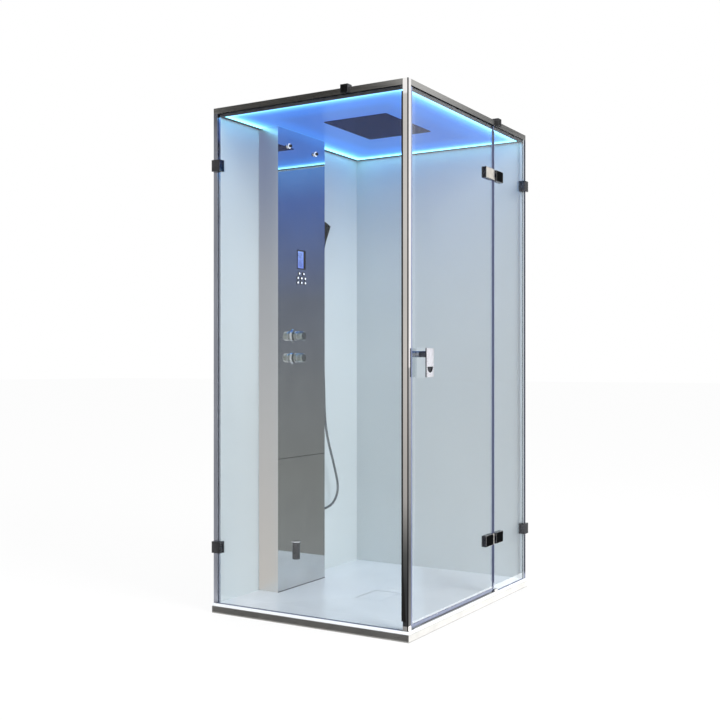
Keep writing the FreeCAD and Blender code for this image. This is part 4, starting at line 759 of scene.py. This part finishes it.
def displayCollar():
    s = displaySettings
    shape = bmesh.new()
    outer, inner = [], []
    for run in (s["front"] - s["lip"], s["back"]):
        for ring, cut in ((outer, 0.0), (inner, s["wall"])):
            w, h = s["width"] / 2 - cut - s["play"], s["tall"] / 2 - cut - s["play"]
            ring.append([shape.verts.new((s["x"] + a * w, run, s["z"] + b * h))
                         for a, b in ((-1, -1), (1, -1), (1, 1), (-1, 1))])
    for k in range(4):
        n = (k + 1) % 4
        for a, b in ((outer[0], outer[1]), (inner[1], inner[0]), (inner[0], outer[0]), (outer[1], inner[1])):
            shape.faces.new((a[k], a[n], b[n], b[k]))
    return meshOf(shape)


newPiece("display_collar", displayCollar(), rubber, "cabin")

# figures on the display, over and under a thin line: up to seven bars make each numeral
figureSettings = {
    "front": 0.3687, "back": 0.3692, "height": 0.022, "width": 0.012, "bar": 0.0022,
    "left": -0.016, "pitch": 0.018, "rows": ((1.586, ("4", "2")), (1.548, ("1", "5"))),
    "line": (-0.027, 1.5745, 0.027, 1.5757), "bars": {"1": "bc", "2": "abged", "4": "fgbc", "5": "afgcd"},
}
figureInk = grainedFinish("printed_crystal_ink", {
    "shades": ("2a3878", "33428a"), "patch": 0.02, "grain": 0.004, "roughness": (0.25, 0.35),
    "relief": 0.0, "depth": 0.0001}, {"IOR": 1.5})


def displayFigures():
    s, middle = figureSettings, displaySettings["x"]
    w, h, b = s["width"], s["height"], s["bar"]
    bars = {"a": (0, h - b, w, h), "g": (0, h / 2 - b / 2, w, h / 2 + b / 2), "d": (0, 0, w, b),
            "f": (0, h / 2, b, h), "e": (0, 0, b, h / 2), "b": (w - b, h / 2, w, h),
            "c": (w - b, 0, w, h / 2)}
    marks = [s["line"]]
    for foot, figures in s["rows"]:
        for place, figure in enumerate(figures):
            left = s["left"] + place * s["pitch"]
            for x0, z0, x1, z1 in (bars[letter] for letter in s["bars"][figure]):
                marks.append((left + x0, foot + z0, left + x1, foot + z1))
    return boxMesh([((middle + x0, s["front"], z0), (middle + x1, s["back"], z1))
                    for x0, z0, x1, z1 in marks])


newPiece("display_figures", displayFigures(), figureInk, "cabin")

# black gaskets in the column's seam and under its foot
gasketSettings = {"left": -0.286, "right": 0.104, "face": 0.3605, "proud": 0.0006,
                  "strips": ((0.6492, 0.6518), (0.0422, 0.0448))}


def columnGaskets():
    s, out = gasketSettings, gasketSettings["proud"]
    return boxMesh([((s["left"] - out, s["face"] - out, low), (s["right"] + out, s["face"] + out, high))
                    for low, high in s["strips"]])


newPiece("column_gaskets", columnGaskets(), rubber, "cabin")

steamSettings = {
    "place": (-0.14, 0.3605, 0.2516),
    "rim": [(0.0, 0.0195), (0.0, 0.0216), (0.0008, 0.0222), (0.0048, 0.0222), (0.0056, 0.0216),
            (0.0056, 0.0195)],
}
turned("steam_outlet_rim", steamSettings["rim"], steamSettings["place"], 64, chrome, "cabin",
       axis=(0, 0, 1))

jetSettings = {
    "xs": (-0.201, 0.019), "z": 2.095, "face": 0.3455,
    "nozzle": [(-0.0016, 0.0008), (-0.0015, 0.003), (-0.0008, 0.0046), (0.0, 0.0052), (0.0008, 0.005)],
    "ring": [(0.0094, 0.0072), (0.0094, 0.0116), (0.0098, 0.0119), (0.0112, 0.0119), (0.0112, 0.0072)],
}
for number, x in enumerate(jetSettings["xs"], start=1):
    origin = (x, jetSettings["face"], jetSettings["z"])
    turned(f"jet_nozzle_{number}", jetSettings["nozzle"], origin, 40, rubber, "cabin")
    # the ring's glow is a painted highlight
    turned(f"jet_ring_{number}", jetSettings["ring"], origin, 48, glowCapPaintedGlint, "cabin")
print("stage: column fittings")


# Seal strips that the corner and the hinge line show: a gasket beside the post, and soft lips on the
# two edges that meet at the hinges.

stripSettings = (
    ("post_gasket", (-0.6020, -0.4585, 0.0800), (-0.6000, -0.4535, 2.1500), "cabin", rubber),
    ("fixed_edge_core", (0.2242, -0.4796, 0.0850), (0.2290, -0.4784, 2.1500), "cabin", smokedVinyl),
    ("fixed_edge_lip", (0.2290, -0.4793, 0.0850), (0.2340, -0.4784, 2.1500), "cabin", sealVinyl),
    ("door_edge_core", (0.2085, -0.4796, 0.0950), (0.2170, -0.4784, 2.1500), "door", smokedVinyl),
    ("door_edge_lip", (0.2040, -0.4793, 0.0950), (0.2085, -0.4784, 2.1500), "door", sealVinyl),
)
for name, low, high, body, finish in stripSettings:
    newPiece(name, boxMesh([(low, high)]), finish, body)

# pale silicone bead round the drain cover's top edge
beadSettings = {"width": 0.003, "deep": 0.001, "corner": 0.004, "least": 0.0005, "steps": 4}


def drainBead():
    s = beadSettings
    low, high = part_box("drain_cover")
    top, under = high.z, high.z - s["deep"]
    shape = bmesh.new()
    rings = []
    for cut, z in ((0.0, under), (0.0, top), (s["width"], top), (s["width"], under)):
        ring = []
        for cx, cy, turn in ((1, 1, 0), (-1, 1, 90), (-1, -1, 180), (1, -1, 270)):
            reach = max(s["least"], s["corner"] - cut)
            mx = (high.x if cx > 0 else low.x) - cx * (cut + reach)
            my = (high.y if cy > 0 else low.y) - cy * (cut + reach)
            for step in range(s["steps"] + 1):
                angle = math.radians(turn + 90 / s["steps"] * step)
                ring.append(shape.verts.new((mx + reach * math.cos(angle), my + reach * math.sin(angle), z)))
        rings.append(ring)
    for near, far in zip(rings, rings[1:] + rings[:1]):
        for k in range(len(near)):
            n = (k + 1) % len(near)
            shape.faces.new((near[k], near[n], far[n], far[k]))
    return meshOf(shape)


beadSilicone = grainedFinish("pale_silicone_bead", {
    "shades": ("98a4ae", "a6b1ba"), "patch": 0.02, "grain": 0.002, "roughness": (0.35, 0.45),
    "relief": 0.05, "depth": 0.0001}, {"IOR": 1.43})
newPiece("drain_cover_bead", drainBead(), beadSilicone, "drain_cover")
print("stage: seal strips")


# Screws: a flat head with a hexagon socket at every point, grown by one tree.

screwSettings = {
    "headHeight": 0.0012, "socketShare": 0.5, "socketDepth": 0.8,
    "leafRadius": 0.004, "leafFace": -0.4601, "doorLeafX": 0.145, "frameLeafX": 0.291,
    "leafHeights": (0.288, 1.948), "leafSpread": 0.013,
    "panelRadius": 0.0045, "lowest": 0.12, "pitch": 0.325, "perColumn": 7,
    "backFace": 0.4829, "backXs": (-0.56, 0.0, 0.583), "rightFace": 0.6004, "rightYs": (-0.44, 0.0, 0.45),
    "roofFace": 2.1994, "roofXs": (-0.555, -0.185, 0.185, 0.555), "roofYs": (-0.438, 0.0, 0.438),
}


def screwHeads(name, points, turn, radius, body):
    s = screwSettings
    values = {"Head Radius": radius, "Head Height": s["headHeight"], "Turn": turn}
    tree, given = newTree(name, values)
    disc = addNode(tree, "GeometryNodeMeshCylinder", {
        "Vertices": 12, "Radius": given["Head Radius"], "Depth": given["Head Height"]})
    upward = addNode(tree, "GeometryNodeInputNormal")
    parts = addNode(tree, "ShaderNodeSeparateXYZ", {0: upward})
    isTop = addNode(tree, "ShaderNodeMath", {0: parts.outputs["Z"], 1: 0.9}, {"operation": "GREATER_THAN"})
    inset = addNode(tree, "GeometryNodeExtrudeMesh", {
        "Mesh": disc.outputs["Mesh"], "Selection": isTop, "Offset Scale": 0.0001})
    narrowed = addNode(tree, "GeometryNodeScaleElements", {
        "Geometry": inset.outputs["Mesh"], "Selection": inset.outputs["Top"], "Scale": s["socketShare"]})
    deep = addNode(tree, "ShaderNodeMath", {
        0: given["Head Height"], 1: -s["socketDepth"]}, {"operation": "MULTIPLY"})
    socket = addNode(tree, "GeometryNodeExtrudeMesh", {
        "Mesh": narrowed, "Selection": inset.outputs["Top"], "Offset Scale": deep})
    many = addNode(tree, "GeometryNodeInstanceOnPoints", {
        "Points": given["Geometry"], "Instance": socket.outputs["Mesh"], "Rotation": given["Turn"]})
    mesh = growPiece(tree, many.outputs[0], pointCarrier(points), values, rolledSteel)
    return newPiece(name, softEdges(mesh, 30), rolledSteel, body)


def allScrews():
    s = screwSettings
    acrossY, acrossX, upright = (-math.radians(90), 0, 0), (0, math.radians(90), 0), (0, 0, 0)
    leafZs = [z + step for z in s["leafHeights"] for step in (-s["leafSpread"], s["leafSpread"])]
    panelZs = [s["lowest"] + s["pitch"] * step for step in range(s["perColumn"])]
    for name, points, turn, radius, body in (
            ("door_leaf_screws", [(s["doorLeafX"], s["leafFace"], z) for z in leafZs],
             acrossY, s["leafRadius"], "door"),
            ("frame_leaf_screws", [(s["frameLeafX"], s["leafFace"], z) for z in leafZs],
             acrossY, s["leafRadius"], "cabin"),
            ("back_wall_screws", [(x, s["backFace"], z) for x in s["backXs"] for z in panelZs],
             acrossY, s["panelRadius"], "cabin"),
            ("right_wall_screws", [(s["rightFace"], y, z) for y in s["rightYs"] for z in panelZs],
             acrossX, s["panelRadius"], "cabin"),
            ("roof_screws", [(x, y, s["roofFace"]) for x in s["roofXs"] for y in s["roofYs"]],
             upright, s["panelRadius"], "cabin")):
        screwHeads(name, points, turn, radius, body)


allScrews()
print("stage: screws")


# Studio: pale floor, white surroundings, two soft lamps, and cards that show only in reflections.

def stagePlane(name, corners, material, onlyGlossy):
    mesh = bpy.data.meshes.new(name)
    mesh.from_pydata(corners, [], [(0, 1, 2, 3)])
    mesh.materials.append(material)
    item = bpy.data.objects.new(name, mesh)
    sceneItems.link(item)
    if onlyGlossy:
        item.visible_camera = item.visible_diffuse = item.visible_transmission = item.visible_shadow = False


def clearSight(tree):
    # 1 for what the camera sees, directly, in a mirror or through glass
    rays = addNode(tree, "ShaderNodeLightPath").outputs
    seen = addNode(tree, "ShaderNodeMath", {
        0: rays["Is Camera Ray"], 1: rays["Is Glossy Ray"]}, {"operation": "MAXIMUM"})
    return addNode(tree, "ShaderNodeMath", {
        0: seen, 1: rays["Is Transmission Ray"]}, {"operation": "MAXIMUM"}).outputs[0]


# matt floor paint: white to the camera, glass and metal, with the object's shadow left in it
floorSettings = {"half": 60, "whiteShare": 0.85}
floorPaint, tree = newMaterial("matt_white_floor_paint")
share = addNode(tree, "ShaderNodeMath", {
    0: clearSight(tree), 1: floorSettings["whiteShare"]}, {"operation": "MULTIPLY"})
matt = addNode(tree, "ShaderNodeBsdfDiffuse", {"Color": colour("f4f4f4")})
white = addNode(tree, "ShaderNodeEmission", {"Color": (1, 1, 1, 1), "Strength": 1.0})
blend = addNode(tree, "ShaderNodeMixShader", {
    0: share, 1: matt, 2: white})
addNode(tree, "ShaderNodeOutputMaterial", {"Surface": blend})
stagePlane("floor", [(x * floorSettings["half"], y * floorSettings["half"], 0)
                     for x, y in ((-1, -1), (1, -1), (1, 1), (-1, 1))], floorPaint, False)

world = bpy.data.worlds.new("studio")
bpy.context.scene.world = world
world.use_nodes = True
tree = world.node_tree
tree.nodes.clear()
level = addNode(tree, "ShaderNodeMapRange", {
    "Value": clearSight(tree), "To Min": 0.95, "To Max": 1.0})
sky = addNode(tree, "ShaderNodeBackground", {"Color": (1, 1, 1, 1), "Strength": level})
addNode(tree, "ShaderNodeOutputWorld", {"Surface": sky})


def cardPaper(name, axis, bands, strength=1.0):
    # a card with its own even light; its greys run along one axis: (place in metres, shade)
    material, tree = newMaterial(name)
    low, high = bands[0][0], bands[-1][0]
    run = addNode(tree, "ShaderNodeMapRange", {
        "Value": objectPart(tree, "Object", axis), "From Min": low, "From Max": high})
    ramp = addNode(tree, "ShaderNodeValToRGB", {"Fac": run})
    fillRamp(ramp, [((place - low) / (high - low), shade) for place, shade in bands])
    light = addNode(tree, "ShaderNodeEmission", {"Color": ramp.outputs["Color"], "Strength": strength})
    addNode(tree, "ShaderNodeOutputMaterial", {"Surface": light})
    return material


def uprightCard(face, low, high, axis):
    # corners of an upright card on a plane across the axis; low and high are (across, height)
    return [(face, across, z) if axis == 0 else (across, face, z)
            for across, z in ((low[0], low[1]), (high[0], low[1]), (high[0], high[1]), (low[0], high[1]))]


def levelCard(low, high, z):
    # corners of a level card; low and high are (x, y)
    return [(low[0], low[1], z), (high[0], low[1], z), (high[0], high[1], z), (low[0], high[1], z)]


# what the column's front and left side mirror, then what each pane and rail does, above and on the floor
leftPlane, frontPlane, hoverZ, floorZ = -4.165, -2.415, 0.0035, 0.002
for name, corners, axis, bands, *strength in (
        ("column_card", uprightCard(0.5875, (-0.29, 0.045), (0.08, 2.16), 0), "Z",
         ((0.0, "8b8f8e"), (0.5, "858886"), (1.0, "7c8084"), (1.43, "6d7484"), (1.98, "4d6eb8"),
          (2.16, "5a94e4"))),
        ("side_card", uprightCard(0.4695, (-0.46, 0.045), (-0.29, 2.16), 1), "Z",
         ((0.0, "dcd8d4"), (0.9, "c9cbce"), (1.5, "b4b9c2"), (1.9, "8c99b8"), (2.16, "7888b4"))),
        ("left_pane_card", uprightCard(leftPlane, (1.52, 0), (3.29, 3.22), 0), "Z",
         ((0.0, "202020"), (3.22, "202020"))),
        ("left_rail_card", uprightCard(leftPlane, (1.52, 3.22), (3.8, 4.0), 0), "Z",
         ((3.22, "565552"), (4.0, "5e5d5a"))),
        ("left_pane_floor_card", [(-0.86, -0.33, hoverZ), (-0.86, 0.66, hoverZ), (leftPlane, 3.29, hoverZ),
                                  (leftPlane, 1.52, hoverZ)], "X",
         ((leftPlane, "202020"), (-0.86, "242424"))),
        ("front_pane_card", uprightCard(frontPlane, (3.10, 0), (5.6, 3.22), 1), "Z",
         ((0.0, "a2a4a6"), (3.22, "a2a4a6"))),
        ("front_rail_card", uprightCard(frontPlane, (3.10, 3.22), (5.6, 4.0), 1), "X",
         ((3.10, "ffffff"), (3.7, "f4f4f4"), (4.4, "9a9a9a"), (5.0, "5c5e60"), (5.6, "505254"))),
        ("front_pane_floor_card", [(-0.30, -0.615, hoverZ), (0.95, -0.615, hoverZ), (5.6, frontPlane, hoverZ),
                                   (3.10, frontPlane, hoverZ)], "X",
         ((-0.30, "a2a4a6"), (5.6, "a2a4a6"))),
        ("post_card", uprightCard(-4.16, (1.30, 0.0), (1.52, 3.2), 0), "Z",
         ((0.0, "a8a6a4"), (0.6, "c2bfbc"), (1.2, "cecbc8"), (3.2, "d6d4d1"))),
        ("left_floor_card", levelCard((-0.86, -0.55), (-0.612, 0.6), floorZ), "X",
         ((-0.86, "a4a4a4"), (-0.612, "808080"))),
        ("front_floor_card", levelCard((-0.62, -0.614), (0.9, -0.486), floorZ), "X",
         ((-0.62, "f8f8f8"), (0.9, "fcfcfc")), 2.7)):
    stagePlane(name, corners, cardPaper(name + "_paper", axis, bands, *strength), True)


def seenIn(point, axis):
    # the place that the camera sees mirrored at this point of a face across the axis: floor or side card
    place = Vector(point)
    ray = place - Vector(cameraSettings["place"])
    ray[axis] = -ray[axis]
    return place + ray * (min(1, (0.003 - place.z) / ray.z) if ray.z < 0 else 1)


def mirrorCard(name, low, high, axis, paper, nearer):
    # a card that fills what one patch of an outer face mirrors; patch corners are (across, height)
    outerFaces = (-0.606, -0.486)
    starts = [Vector(corner) for corner in uprightCard(outerFaces[axis], low, high, axis)]
    stagePlane(name, [seenIn(start, axis).lerp(start, nearer) for start in starts], paper, True)


def leafPatch(nodeName, spare):
    # the outer patch of a CAD piece: lowest and highest x and z, with a little to spare
    low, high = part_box(nodeName)
    return (low.x - spare, low.z - spare), (high.x + spare, high.z + spare)


darkPaper = cardPaper("near_black_card", "X", ((-5.0, "141517"), (5.0, "1a1b1d")))
whitePaper = cardPaper("white_card", "X", ((-5.0, "f6f6f8"), (5.0, "fafafc")), 1.1)
creamPaper = cardPaper("cream_card", "X", ((-5.0, "f2efe9"), (5.0, "f6f3ee")))
for name, nodeName, paper, spare in (
        ("lower_door_leaf_card", "lower_hinge_door_leaf", darkPaper, 0.006),
        ("lower_frame_leaf_card", "lower_hinge_frame_leaf", darkPaper, 0.006),
        ("upper_frame_leaf_card", "upper_hinge_frame_leaf", darkPaper, 0.004),
        ("upper_door_leaf_card", "upper_hinge_door_leaf", creamPaper, -0.002),
        ("handle_plate_card", "handle_plate", whitePaper, 0.004)):
    mirrorCard(name, *leafPatch(nodeName, spare), 1, paper, 0.008)
for name, low, high, axis, paper, nearer in (
        ("post_front_low", (-0.64, 0.06), (-0.55, 0.5405), 1, cardPaper("post_front_low_paper", "X", (
            (-0.4, "8e9092"), (1.0, "6c6e70"), (3.0, "949698"))), 0.001),
        ("post_front_high", (-0.64, 0.54), (-0.55, 1.07), 1, cardPaper("post_front_high_paper", "Z", (
            (0.0, "949698"), (0.9, "bebec0"))), 0.004),
        ("post_front_top", (-0.64, 1.06), (-0.555, 2.3), 1, whitePaper, 0.004),
        ("post_side_low", (-0.53, 0.06), (-0.42, 0.5405), 0, cardPaper("post_side_low_paper", "X", (
            (-4.2, "a8a6a4"), (-2.2, "565858"), (-1.4, "3c3e40"), (-0.8, "3a3c3e"))), 0.001)):
    mirrorCard(name + "_card", low, high, axis, paper, nearer)

lampSettings = (
    ("keyLamp", (-1.2, -5.0, 3.5), 3.2, 285.0),
    ("fillLamp", (-5.0, 0.6, 2.4), 2.6, 25.0),
)
for name, place, size, power in lampSettings:
    lampData = bpy.data.lights.new(name, "AREA")
    lampData.size = size
    lampData.energy = power
    lamp = bpy.data.objects.new(name, lampData)
    lamp.location = place
    lamp.rotation_euler = (Vector((0, 0, 1.0)) - Vector(place)).to_track_quat("-Z", "Y").to_euler()
    lamp.visible_glossy = lamp.visible_camera = lamp.visible_transmission = False
    sceneItems.link(lamp)
print("stage: studio")
